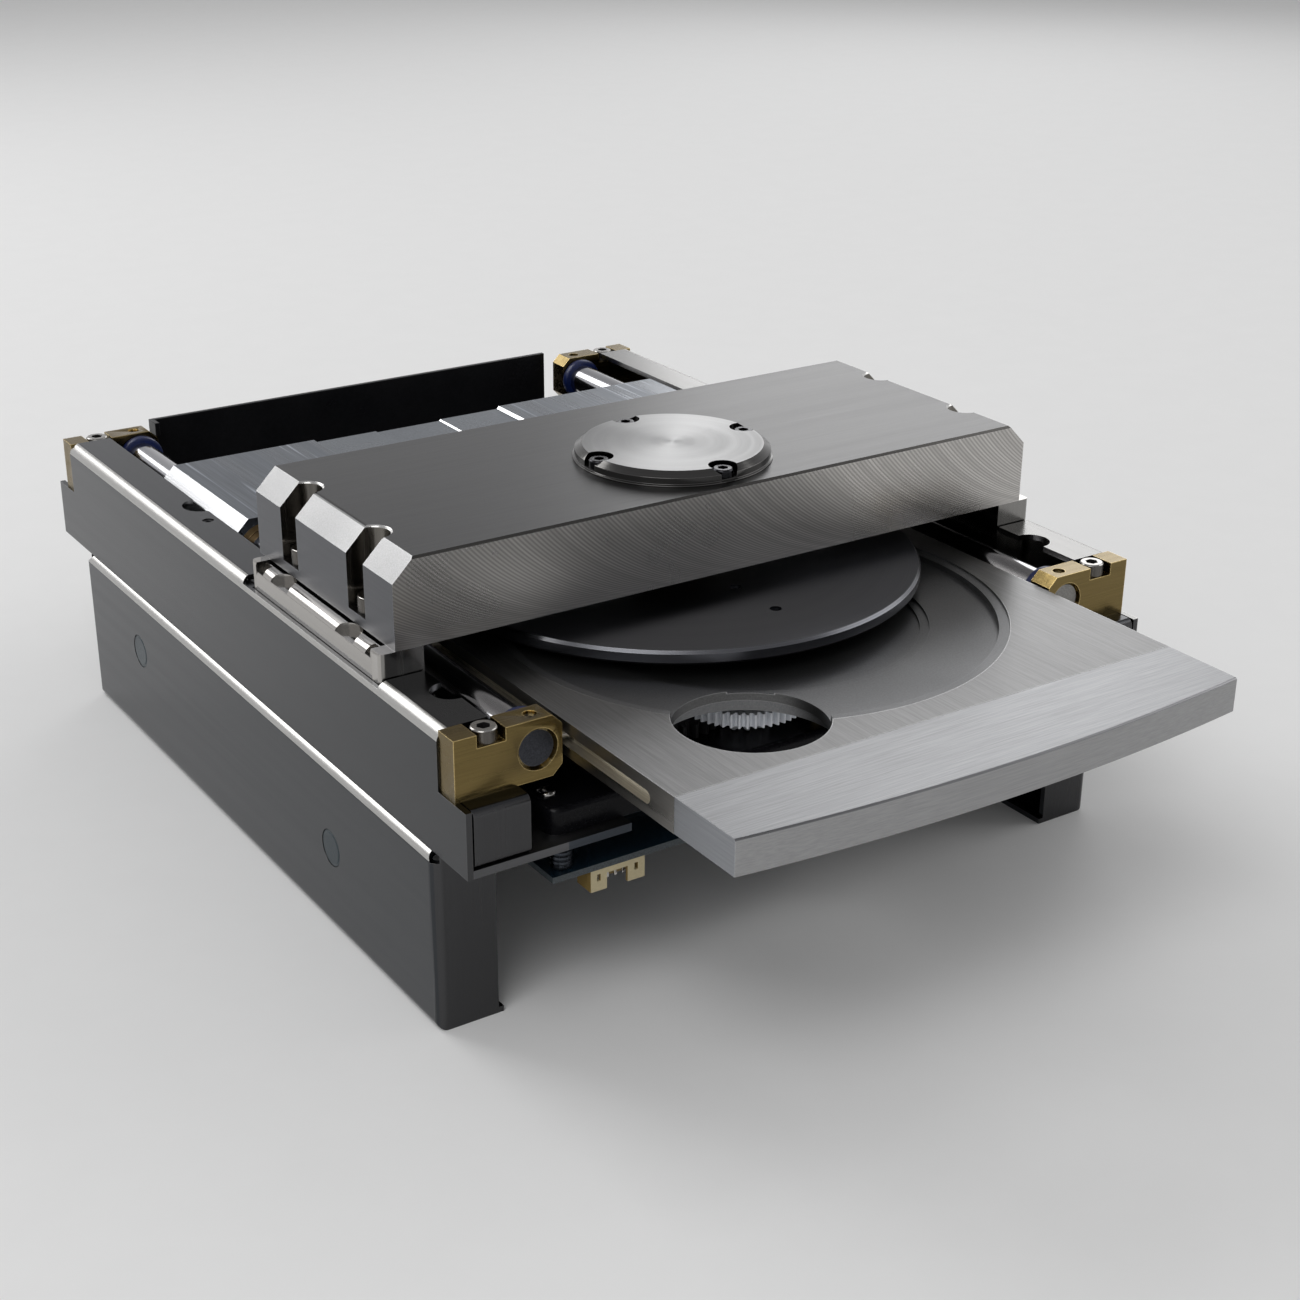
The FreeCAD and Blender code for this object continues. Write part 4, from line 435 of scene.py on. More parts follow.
class Bench:
    """Modelling steps that every sub-assembly uses."""

    @staticmethod
    def pick(piece: Piece) -> None:
        """Make a piece the only one selected."""
        bpy.ops.object.select_all(action="DESELECT")
        piece.select_set(True)
        bpy.context.view_layer.objects.active = piece

    @classmethod
    @contextmanager
    def editing(cls, piece: Piece) -> Iterator[None]:
        """Edit mode of a piece, with all of it selected at the start."""
        cls.pick(piece)
        bpy.ops.object.mode_set(mode="EDIT")
        bpy.ops.mesh.select_all(action="SELECT")
        yield
        bpy.ops.object.mode_set(mode="OBJECT")

    @classmethod
    def settle(cls, name: str) -> Piece:
        """Name the active piece and put its place in its mesh."""
        piece = bpy.context.view_layer.objects.active
        piece.name = name
        cls.pick(piece)
        bpy.ops.object.transform_apply(location=True, rotation=True, scale=True)
        return piece

    @classmethod
    def block(cls, name: str, low: Place, high: Place) -> Piece:
        """Rectangular block between two corners, in millimetres."""
        middle = [(a + b) / 2 * MM for a, b in zip(low, high)]
        size = [(b - a) * MM for a, b in zip(low, high)]
        bpy.ops.mesh.primitive_cube_add(size=1.0, location=middle)
        bpy.context.object.scale = size
        return cls.settle(name)

    @classmethod
    def turned(cls, name: str, centre: Place, profile: Sequence[Pair], axis: Axis = Z,
               steps: int = 96, hollow: bool = False) -> Piece:
        """Round piece turned from a profile.

        Args:
            name: Name of the piece.
            centre: Point on its axis where the profile's heights start, in millimetres.
            profile: Radius and height of each corner, in order.
            axis: Direction of the heights.
            steps: Faces round it.
            hollow: Whether the profile is a closed loop with a bore inside.

        Returns:
            The piece, closed and with its faces outwards.
        """
        radius, height = profile[0]
        fill = "NOTHING" if hollow else "NGON"
        bpy.ops.mesh.primitive_circle_add(vertices=steps, radius=radius * MM, fill_type=fill,
                                          location=(0.0, 0.0, height * MM))
        piece = cls.settle(name)
        with cls.editing(piece):
            for next_radius, next_height in list(profile[1:]) + ([profile[0]] if hollow else []):
                rise = (next_height - height) * MM
                bpy.ops.mesh.extrude_region_move(TRANSFORM_OT_translate={"value": (0.0, 0.0, rise)})
                grow = next_radius / radius
                bpy.ops.transform.resize(value=(grow, grow, 1.0), center_override=(0.0, 0.0, next_height * MM))
                radius, height = next_radius, next_height
            bpy.ops.mesh.select_all(action="SELECT")
            bpy.ops.mesh.remove_doubles(threshold=1e-7)
            bpy.ops.mesh.normals_make_consistent(inside=False)
        turn = {X: (0.0, math.pi / 2, 0.0), Y: (-math.pi / 2, 0.0, 0.0), Z: (0.0, 0.0, 0.0)}
        piece.rotation_euler = turn[axis]
        piece.location = [c * MM for c in centre]
        return cls.settle(name)

    @classmethod
    def rod(cls, name: str, start: Place, radius: float, length: float, axis: Axis = Z, steps: int = 48) -> Piece:
        """Plain round bar or cutter."""
        return cls.turned(name, start, ((radius, 0.0), (radius, length)), axis, steps)

    @classmethod
    @contextmanager
    def chosen(cls, piece: Piece, test: Test, edges: bool = False) -> Iterator[None]:
        """Edit mode with only some points or edges selected.

        Args:
            piece: The piece to edit.
            test: Takes a point in millimetres, and says whether it is chosen; an edge needs both its ends.
            edges: Choose edges and not points.
        """
        with cls.editing(piece):
            bpy.ops.mesh.select_mode(type="EDGE" if edges else "VERT")
            bpy.ops.mesh.select_all(action="DESELECT")
        good = [test(v.co / MM) for v in piece.data.vertices]
        for part in piece.data.edges if edges else piece.data.vertices:
            part.select = all(good[k] for k in part.vertices) if edges else good[part.index]
        bpy.ops.object.mode_set(mode="EDIT")
        yield
        bpy.ops.object.mode_set(mode="OBJECT")

    @classmethod
    def stretched(cls, piece: Piece, test: Test, move: Place) -> Piece:
        """Move the points of a piece that pass a test, by millimetres."""
        with cls.chosen(piece, test):
            bpy.ops.transform.translate(value=[m * MM for m in move])
        return piece

    @classmethod
    def chamfered(cls, piece: Piece, test: Test, width: float, segments: int = 1) -> Piece:
        """Chamfer, or round with more segments, the edges whose both ends pass a test."""
        with cls.chosen(piece, test, edges=True):
            bpy.ops.mesh.bevel(offset=width * MM, segments=segments, affect="EDGES", offset_type="OFFSET")
        return piece

    @classmethod
    def divided(cls, piece: Piece, places: Iterable[float]) -> Piece:
        """Divide the faces at planes across X, at places in millimetres."""
        for x in places:
            with cls.editing(piece):
                bpy.ops.mesh.bisect(plane_co=(x * MM, 0.0, 0.0), plane_no=(1.0, 0.0, 0.0))
        return piece

    @classmethod
    def modified(cls, piece: Piece, kind: str, **settings: object) -> Piece:
        """Add a modifier with its settings, and apply it."""
        cls.pick(piece)
        step = piece.modifiers.new("step", kind)
        for key, value in settings.items():
            setattr(step, key, value)
        bpy.ops.object.modifier_apply(modifier=step.name)
        return piece

    @classmethod
    def cut(cls, piece: Piece, tools: Iterable[Piece], keep: str = "DIFFERENCE") -> Piece:
        """Cut a piece with tools, which are used up."""
        for tool in tools:
            cls.modified(piece, "BOOLEAN", solver="EXACT", operation=keep, object=tool)
            bpy.data.objects.remove(tool)
        return piece

    @classmethod
    def eased(cls, piece: Piece, width: float = 0.2, segments: int = 2, sharp: float = 35.0) -> Piece:
        """Break the sharp edges and smooth the shading."""
        if width > 0.0:
            cls.modified(piece, "BEVEL", width=width * MM, segments=segments, limit_method="ANGLE",
                         angle_limit=math.radians(sharp))
        cls.pick(piece)
        bpy.ops.object.shade_smooth_by_angle(angle=SMOOTH_ANGLE)
        return cls.modified(piece, "WEIGHTED_NORMAL", keep_sharp=True)

    @classmethod
    def joined(cls, pieces: Sequence[Piece], name: str) -> Piece:
        """Several loose parts as one object."""
        cls.pick(pieces[0])
        for piece in pieces:
            piece.select_set(True)
        bpy.ops.object.join()
        return cls.eased(cls.settle(name), 0.0)

    @classmethod
    def twin(cls, piece: Piece, name: str, sign: float, shift: float = 0.0) -> Piece:
        """Copy of a piece with its own mesh, mirrored across X by a sign and moved along Y by millimetres."""
        copy = piece.copy()
        copy.data = piece.data.copy()
        copy.name = name
        bpy.context.scene.collection.objects.link(copy)
        copy.data.transform(Matrix.Translation((0.0, shift * MM, 0.0)) @ Matrix.Diagonal((sign, 1.0, 1.0, 1.0)))
        if sign < 0.0:
            copy.data.flip_normals()
        return copy

    @classmethod
    def node_copy(cls, node: str, name: str) -> Piece:
        """Merged copy of a solid of the frame, with its flat faces whole."""
        mesh = frame["nodes"][node].data.copy()
        mesh.materials.clear()
        piece = bpy.data.objects.new(name, mesh)
        bpy.context.scene.collection.objects.link(piece)
        cls.pick(piece)
        bpy.ops.mesh.customdata_custom_splitnormals_clear()
        with cls.editing(piece):
            bpy.ops.mesh.remove_doubles(threshold=2e-6)
            bpy.ops.mesh.dissolve_limited(angle_limit=math.radians(0.6))
        return piece


def box_of(node: str) -> tuple[Vector, Vector]:
    """Lower and upper corner of a node's box, in millimetres."""
    return tuple(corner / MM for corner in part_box(node))


def around(radius: float) -> list[Pair]:
    """Four places round the spindle's axis, as x and y in millimetres."""
    turns = [quarter * math.pi / 2 for quarter in range(4)]
    return [(radius * math.cos(turn), SPINDLE_Y + radius * math.sin(turn)) for turn in turns]


@dataclass
class SubAssembly:
    """A group of pieces that are made and dressed together."""

    def dress(self, piece: Piece, node: str, finishes: Sequence[Finish], choose: Optional[Chooser] = None,
              extra: bool = False) -> Piece:
        """Give a piece its finishes and its place in the frame.

        Args:
            piece: The finished mesh.
            node: The node that it stands for, which gives its body.
            finishes: One or more finishes.
            choose: Takes a face's centre in millimetres and its normal, and gives the finish's number.
            extra: Whether it is a small piece beside the node, which stands for no solid.

        Returns:
            The piece.
        """
        piece.data.materials.clear()
        for finish in finishes:
            piece.data.materials.append(finish.material())
        for face in piece.data.polygons:
            face.material_index = choose(face.center / MM, face.normal) if choose else 0
        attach(piece, frame["nodes"][node]["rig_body"])
        if not extra:
            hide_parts(node)
        log.info("%s: %s, %d faces", type(self).__name__, piece.name, len(piece.data.polygons))
        return piece

    def refined(self, node: str, *finishes: Finish, width: float = 0.15, segments: int = 2,
                choose: Optional[Chooser] = None, divide: Sequence[float] = ()) -> Piece:
        """Copy of a solid with broken edges and its finishes, divided across X where a finish ends within a face."""
        piece = Bench.eased(Bench.node_copy(node, node + "_piece"), width, segments)
        return self.dress(Bench.divided(piece, divide), node, finishes, choose)

    def screws(self, node: str, places: Sequence[Pair], socket_r: float, *finishes: Finish,
               width: float = 0.12) -> Piece:
        """Upright screws of one node, with their own finish on the head, round it and in its socket.

        Args:
            node: The solids' node; their heads end at one height.
            places: Their axes, x and y in millimetres.
            socket_r: Reach of the socket from the axis.
            finishes: For the top of the head, its side and its socket; the side and the socket are painted shade.
            width: How far the edges are broken.

        Returns:
            The dressed piece.
        """
        top = box_of(node)[1].z

        def face(centre: Vector, normal: Vector) -> int:
            """Which part of a head a face is on."""
            if centre.z > top - 0.05 and normal.z > 0.9:
                return 0
            away = min((centre.xy - Vector(place)).length for place in places)
            return 2 if away < socket_r else int(abs(normal.z) < 0.6)

        return self.refined(node, *finishes, width=width, choose=face)


def ends_apart(centre: Vector, normal: Vector) -> int:
    """Faces across the length have the second finish."""
    return int(abs(normal.y) > 0.7)


def bends_apart(centre: Vector, normal: Vector) -> int:
    """Faces across the length have the second finish, and outer bends along it the third, a painted highlight."""
    if abs(normal.y) > 0.7:
        return 1
    return 2 if normal.z > 0.2 and normal.x * centre.x > 0.0 and abs(normal.x) > 0.2 else 0


@dataclass
class FoldedFrame(SubAssembly):
    """Lower side plates, base plate, upper rails, brackets, studs and rear panel."""

    plate_x: float = 101.0
    stud_r: float = 4.9
    stud_disc_r: float = 4.2
    stud_places: tuple[Pair, ...] = ((69.2, 29.05), (-55.9, 23.0))
    sheet: float = 1.5
    edge_shade_x: float = 74.0
    knurl: Pair = (3.75, 0.93)
    shank: Triple = (5.5, 2.0, 5.6)

    def studs(self) -> None:
        """Knurled clinch discs, flush with the plates, and their shanks."""
        pieces, (pitch, shrink), (back, radius, length) = [], self.knurl, self.shank
        for y, z in self.stud_places:
            x = self.plate_x - self.sheet
            edge = Bench.rod("stud_edge", (x, y, z), self.stud_r - 0.02, self.sheet - 0.12, X, 96)
            with Bench.chosen(edge, lambda p: round(math.degrees(math.atan2(p.z - z, p.y - y)) / pitch) % 2 == 0):
                bpy.ops.transform.resize(value=(1.0, shrink, shrink), center_override=(x * MM, y * MM, z * MM))
            disc = Bench.turned("stud_disc", (x, y, z), ((self.stud_disc_r, 0.2), (self.stud_disc_r, self.sheet - 0.1),
                                                         (self.stud_disc_r - 0.15, self.sheet)), X, 48)
            shank = Bench.rod("stud_shank", (x - back, y, z), radius, length, X, 32)
            pieces += [edge, disc, shank]
        studs = Bench.joined(pieces, "clinch_stud_set")
        other = Bench.twin(studs, "clinch_stud_twin", -1.0)
        self.dress(Bench.joined([studs, other], "clinch_studs_piece"), "clinch_studs", (STUD_STEEL, SCREW_STEEL),
                   lambda c, n: int(abs(n.x) < 0.7 and abs(c.x) > self.plate_x - 1.3))

    def build(self) -> None:
        """Make and dress every piece."""
        for side in ("left", "right"):
            self.refined("lower_side_plate_" + side, NICKEL, NICKEL_END, NICKEL_BEND_HIGHLIGHT, width=0.18, choose=bends_apart)
            # The right rail is painted lighter than the left one, as light falling on that side.
            top = NICKEL_LIT if side == "right" else NICKEL_RAIL
            self.refined("upper_rail_" + side, top, NICKEL_END, NICKEL_BEND_HIGHLIGHT, width=0.18, choose=bends_apart)
        # The base plate's front edge between the rails is painted dark as shade; beyond it the edge keeps the plate's
        # colour.
        self.refined("base_plate", BASE_STEEL, BASE_EDGE_SHADE, width=0.2,
                     divide=(-self.edge_shade_x, self.edge_shade_x),
                     choose=lambda c, n: int(n.y < -0.7 and c.y < -100.0 and abs(c.x) < self.edge_shade_x))
        for node in ("front_corner_brackets", "rear_corner_brackets"):
            self.refined(node, NICKEL_RAIL, NICKEL_END, choose=ends_apart)
        self.refined("rear_panel", PANEL_BLACK, width=0.2)
        self.studs()


@dataclass
class ShaftSupports(SubAssembly):
    """Brass blocks with their screws, guide shafts, collars and guide pins."""

    block_x: Pair = (72.1, 99.1)
    block_z: Pair = (62.3, 77.15)
    front_y: float = -118.0
    rear_y: float = 118.95
    thick: float = 6.8
    corner: float = 2.5
    shaft_x: float = 78.3
    shaft_z: float = 69.8
    shaft_r: float = 5.0
    shaft_y: Pair = (-117.2, 124.95)
    notch_x: float = 89.85
    notch_half: float = 3.55
    notch_deep: float = 3.15
    collar_r: float = 6.7
    collar_thick: float = 3.0
    hole_r: Pair = (1.5, 1.6)
    shaft_end_r: float = 4.35

    def broken_edge(self, centre: Vector, normal: Vector) -> int:
        """Whether a face of a brass block is a broken edge, which is bright, and not a cut corner."""
        cut_corner = abs(centre.x) < self.block_x[0] + self.corner and abs(normal.y) < 0.1
        return int(max(abs(value) for value in normal) < 0.97 and not cut_corner)

    def blocks(self) -> None:
        """The four brass blocks, cut from one."""
        (x0, x1), (z0, z1), y = self.block_x, self.block_z, self.front_y
        middle = y + self.thick / 2
        piece = Bench.block("brass_block", (x0, y, z0), (x1, y + self.thick, z1))
        for level in (z0, z1):
            Bench.chamfered(piece, lambda p, level=level: p.x < x0 + 0.1 and abs(p.z - level) < 0.1, self.corner)
        Bench.cut(piece, (
            Bench.rod("bore", (self.shaft_x, y - 1, self.shaft_z), self.shaft_r + 0.01, self.thick + 2, Y, 64),
            Bench.block("notch", (self.notch_x - self.notch_half, y - 1, z1 - self.notch_deep),
                        (self.notch_x + self.notch_half, y + self.thick + 1, z1 + 1)),
            Bench.rod("screw_hole", (self.notch_x, middle, z0 - 1), self.hole_r[0], 16.0, steps=24),
            Bench.rod("grub_hole", (self.shaft_x, middle, self.shaft_z), self.hole_r[1], 16.0, steps=24)))
        Bench.eased(piece, 0.22)
        for row, shift in (("front", 0.0), ("rear", self.rear_y - self.front_y)):
            for side, sign in SIDES:
                node = f"shaft_block_{row}_{side}"
                copy = Bench.twin(piece, node + "_piece", sign, shift)
                self.dress(copy, node, (BRASS, BRASS_EDGE), self.broken_edge)
        bpy.data.objects.remove(piece)

    def shafts(self) -> None:
        """Both ground shafts; the right shaft's end faces are painted light and the left shaft's painted shade."""
        low, high = self.shaft_y
        end, edge = self.shaft_end_r, self.shaft_r - self.shaft_end_r
        profile = ((end, 0.0), (self.shaft_r, edge), (self.shaft_r, high - low - edge), (end, high - low))
        for side, sign in SIDES:
            node = "guide_shaft_" + side
            piece = Bench.turned(node + "_piece", (sign * self.shaft_x, low, self.shaft_z), profile, Y, 64)
            # Right shaft ends painted light, left ones painted shade.
            face = SHAFT_END_LIT if sign > 0 else SHAFT_END_SHADED
            self.dress(Bench.eased(piece, 0.0), node, (SHAFT_STEEL, SHAFT_RIM, face),
                       lambda c, n: int(abs(n.y) > 0.3) + int(abs(n.y) > 0.9))

    def collars(self) -> None:
        """Four soft blue collars with rounded rims."""
        r, bore, t = self.collar_r, self.shaft_r, self.collar_thick
        profile = ((bore, 0.0), (r - 0.8, 0.0), (r - 0.25, 0.25), (r, 0.8), (r, t - 0.8), (r - 0.25, t - 0.25),
                   (r - 0.8, t), (bore, t))
        pieces = [Bench.turned("collar", (sign * self.shaft_x, y, self.shaft_z), profile, Y, 64, True)
                  for y in (self.front_y + self.thick, self.rear_y - t) for sign in (-1.0, 1.0)]
        self.dress(Bench.joined(pieces, "bumper_collars_piece"), "bumper_collars", (COLLAR,))

    def build(self) -> None:
        """Make and dress every piece."""
        self.blocks()
        self.shafts()
        self.collars()
        places = [(sign * self.notch_x, y + self.thick / 2) for sign in (-1, 1) for y in (self.front_y, self.rear_y)]
        self.screws("clamp_screws", places, 2.0, SCREW_STEEL, SCREW_SIDE_SHADE, SCREW_SOCKET_SHADE)
        self.refined("set_screws", SET_SCREW, width=0.08)
        self.refined("tray_guide_pins", SHAFT_STEEL)


@dataclass
class BridgeUnit(SubAssembly):
    """Heavy bridge on its two base blocks, with the spindle bearing's cap and stator."""

    half: float = 94.0
    chamfer: float = 5.55
    front_edge: float = 0.6
    slot_r: float = 4.4
    slot_x: float = 89.3
    slot_ys: Pair = (-62.95, -26.75)
    slot_floor: float = 2.7
    bore_r: float = 18.0
    cap_r: float = 24.9
    cap_top_r: float = 23.0
    notch_r: float = 3.6
    slot_rim: float = 0.45
    notch_circle: float = 22.0
    notch_floor: float = 0.9
    cap_foot: Triple = (0.55, 0.35, 0.6)
    cap_slope: float = 1.35
    pad_height: float = 0.67
    pad_lengths: Pair = (4.8, 3.0)
    pad_edge: float = 0.7
    pad_groove: float = 3.4
    base_round: float = 3.0
    base_corner: float = 1.6
    scoop_r: float = 4.8
    scoop_deep: float = 1.8
    screw_r: float = 2.5
    screw_deep: float = 9.0

    def base_block(self, low: Vector, high: Vector) -> Piece:
        """Right base block: raised ends, a rounded outer top edge, and a scoop beside each screw.

        Args:
            low: Its lower inner front corner, in millimetres.
            high: Its upper outer back corner, in millimetres.

        Returns:
            The block, with its edges broken.
        """
        pads, out = high.z - self.pad_height, high.x
        front, back = low.y + self.pad_lengths[0], high.y - self.pad_lengths[1]
        piece = Bench.block("base_block", (low.x, front, low.z), (out, back, pads))
        Bench.chamfered(piece, lambda p: p.x > out - 0.1 and p.z > pads - 0.1, self.base_round, 12)
        for y0, y1, face in ((low.y, front, low.y), (back, high.y, high.y)):
            end = Bench.block("end", (low.x, y0, low.z), (out, y1, high.z))
            Bench.chamfered(end, lambda p: p.x > out - 0.1 and abs(p.y - face) < 0.1, self.base_corner, 8)
            bevel = Bench.block("bevel", (out - self.pad_edge, y0 - 1.0, high.z - self.pad_edge),
                                (out + 1.0, y1 + 1.0, high.z + 1.0))
            Bench.stretched(bevel, lambda p: p.x < out and p.z < high.z, (self.pad_edge, 0.0, 0.0))
            Bench.cut(piece, (Bench.cut(end, (bevel,)),), "UNION")
        floor = pads - self.scoop_deep
        tools = [Bench.block("groove", (out - self.base_round, y, floor), (out + 1.0, y + self.pad_groove, pads + 0.01))
                 for y in (front, back - self.pad_groove)]
        for y in self.slot_ys:
            tools.append(Bench.rod("scoop", (out, y, floor), self.scoop_r, self.scoop_deep + 0.01, steps=96))
            foot = pads + 1.0 - self.screw_deep
            tools.append(Bench.rod("hole", (self.slot_x, y, foot), self.screw_r, self.screw_deep))
        return Bench.eased(Bench.cut(piece, tools), 0.12)

    def slot(self, sign: float, y: float, floor: float, top: float) -> Piece:
        """Cutter of one end slot, round at its inner end and open at the bridge's end."""
        x = sign * self.slot_x
        tool = Bench.rod("slot", (x, y, floor), self.slot_r, top - floor + 5.0, steps=64)
        return Bench.stretched(tool, lambda p: (p.x - x) * sign > 0.05, (sign * 12.0, 0.0, 0.0))

    def bridge(self) -> None:
        """Bridge with chamfered ends, end slots and a milled front."""
        low, high = box_of("bridge")
        piece = Bench.block("bridge_piece", low, high)
        for sign in (-1.0, 1.0):
            Bench.chamfered(piece, lambda p: p.x * sign > self.half - 0.1 and p.z > high.z - 0.1, self.chamfer)
        Bench.chamfered(piece, lambda p: p.y < low.y + 0.1 and p.z > high.z - 0.1, self.front_edge)
        tools = [self.slot(sign, y, low.z + self.slot_floor, high.z) for sign in (-1.0, 1.0) for y in self.slot_ys]
        tools.append(Bench.rod("bore", (0.0, SPINDLE_Y, low.z - 1), self.bore_r, high.z - low.z + 2, steps=96))
        Bench.cut(piece, tools)
        Bench.chamfered(piece, lambda p: p.z > high.z - 0.01 and self.near_slot(p, self.slot_r + 0.05), self.slot_rim)
        Bench.eased(piece, 0.2)

        def face(centre: Vector, normal: Vector) -> int:
            """Number of the finish of each kind of face."""
            if normal.y < -0.5 and normal.z > 0.5 and centre.y < low.y + 0.7:
                return 2
            # Front face: the painted-light copy.
            if normal.y < -0.9 and centre.y < low.y + 0.1:
                return 1
            if self.near_slot(centre, self.slot_r + 0.6) and normal.z < 0.95:
                # Slot rims get the painted highlight, slot walls the slot finish.
                return 6 if normal.z > 0.3 and centre.z > high.z - 1.0 else 5
            # End chamfers get the painted highlight.
            return 4 if abs(normal.x) > 0.5 and normal.z > 0.5 else 3 if abs(normal.x) > 0.5 else 0

        self.dress(piece, "bridge", (BRIDGE_STEEL, BRIDGE_FRONT_LIT, BRIDGE_EDGE, BRIDGE_END, BRIDGE_CHAMFER_HIGHLIGHT,
                                        BRIDGE_SLOT, BRIDGE_RIM_HIGHLIGHT), face)

    def near_slot(self, place: Vector, reach: float) -> bool:
        """Whether a place is at an end slot's wall, and not on the bridge's outer faces."""
        if abs(place.x) > self.half - 0.05:
            return False
        along = max(0.0, abs(place.x) - self.slot_x)
        inward = min(0.0, abs(place.x) - self.slot_x)
        off = min(abs(place.y - y) for y in self.slot_ys)
        return math.hypot(inward, off) < reach and (along == 0.0 or abs(off - self.slot_r) < 0.3 or off < self.slot_r)

    def cap(self) -> None:
        """Turned cap with a low foot ring, a sloped rim and four screw notches."""
        low, high = box_of("bearing_cap")
        rise, (out, foot, neck) = high.z - low.z, self.cap_foot
        profile = ((self.cap_r + out, 0.0), (self.cap_r + out, foot), (self.cap_r, neck),
                   (self.cap_r, rise - self.cap_slope), (self.cap_top_r + 0.1, rise - 0.06), (self.cap_top_r, rise))
        piece = Bench.turned("bearing_cap_piece", (0.0, SPINDLE_Y, low.z), profile, steps=128)
        places = around(self.notch_circle)
        tools = [Bench.rod("notch", (*place, low.z + self.notch_floor), self.notch_r, 6.0) for place in places]
        Bench.eased(Bench.cut(piece, tools), 0.1)

        def face(centre: Vector, normal: Vector) -> int:
            """Top turned, rim polished with a painted dark reflection, notches painted dark as shade."""
            if normal.z < 0.95 and min((centre.xy - Vector(p)).length for p in places) < self.notch_r + 0.05:
                return 2
            return 0 if normal.z > 0.95 and centre.z > low.z + 1.5 else 1

        self.dress(piece, "bearing_cap", (CAP_STEEL, CAP_RIM_DARK_REFLECTION, CAP_NOTCH_SHADE), face)

    def build(self) -> None:
        """Make and dress every piece."""
        self.bridge()
        self.cap()
        base = self.base_block(*box_of("bridge_base_right"))
        for side, sign in reversed(SIDES):
            node = "bridge_base_" + side
            self.dress(Bench.twin(base, node + "_piece", sign), node, (BASE_BLOCK, BASE_BLOCK_END), ends_apart)
        bpy.data.objects.remove(base)
        places = [(sign * self.slot_x, y) for sign in (-1, 1) for y in self.slot_ys]
        self.screws("bridge_screws", places, 2.3, SCREW_STEEL, SCREW_SIDE_SHADE, SCREW_SOCKET_SHADE, width=0.3)
        self.refined("cap_screws", SCREW_BLACK, width=0.12)
        self.refined("spindle_bearings", BRONZE)
        self.refined("spindle_stator", COPPER)


@dataclass
class SpindleUnit(SubAssembly):
    """Turntable, spindle and rotor magnet."""

    radius: float = 64.1
    rim: float = 0.7
    hub_r: float = 12.0
    hole_r: float = 1.5
    hole_circles: Pair = (28.5, 45.2)
    key_r: float = 0.8
    hub_rise: float = 2.2
    recess_r: float = 9.0

    def build(self) -> None:
        """Make and dress every piece."""
        low, high = box_of("turntable")
        thick = high.z - low.z - self.hub_rise
        r, rim = self.radius, self.rim
        profile = ((r - rim, 0.0), (r, rim), (r, thick - rim), (r - rim, thick), (self.hub_r, thick),
                   (self.hub_r, thick + 2.0), (self.hub_r - 0.4, thick + self.hub_rise))
        piece = Bench.turned("turntable_piece", (0.0, SPINDLE_Y, low.z), profile, steps=160)
        tools = [Bench.rod("recess", (0.0, SPINDLE_Y, low.z - 1.0), self.recess_r, 2.4, steps=64)]
        screws = []
        for x, y in (place for circle in self.hole_circles for place in around(circle)):
            tools.append(Bench.rod("hole", (x, y, low.z - 1.0), self.hole_r, thick + 2.0, steps=32))
            screw = Bench.rod("grub", (x, y, low.z + 0.3), self.hole_r - 0.03, thick - 1.0, steps=32)
            screws.append(Bench.cut(screw, (Bench.rod("hexagon", (x, y, low.z + 1.4), self.key_r, 4.0, steps=6),)))
        Bench.eased(Bench.cut(piece, tools), 0.12)

        def face(centre: Vector, normal: Vector) -> int:
            """Top and underside, side, or the broken edges between them; the upper broken edge has a painted highlight.
            """
            if abs(normal.z) > 0.95 or (centre.xy - Vector((0.0, SPINDLE_Y))).length < r - 1.5:
                return 0
            return 2 if normal.z > 0.3 else 1

        self.dress(piece, "turntable", (TURNTABLE_TOP, TURNTABLE_RIM, TURNTABLE_EDGE_HIGHLIGHT), face)
        self.dress(Bench.joined(screws, "balance_screws"), "turntable", (SCREW_BLACK,), extra=True)
        self.refined("turntable_spindle", SHAFT_STEEL)
        self.refined("rotor_magnet", MAGNET)


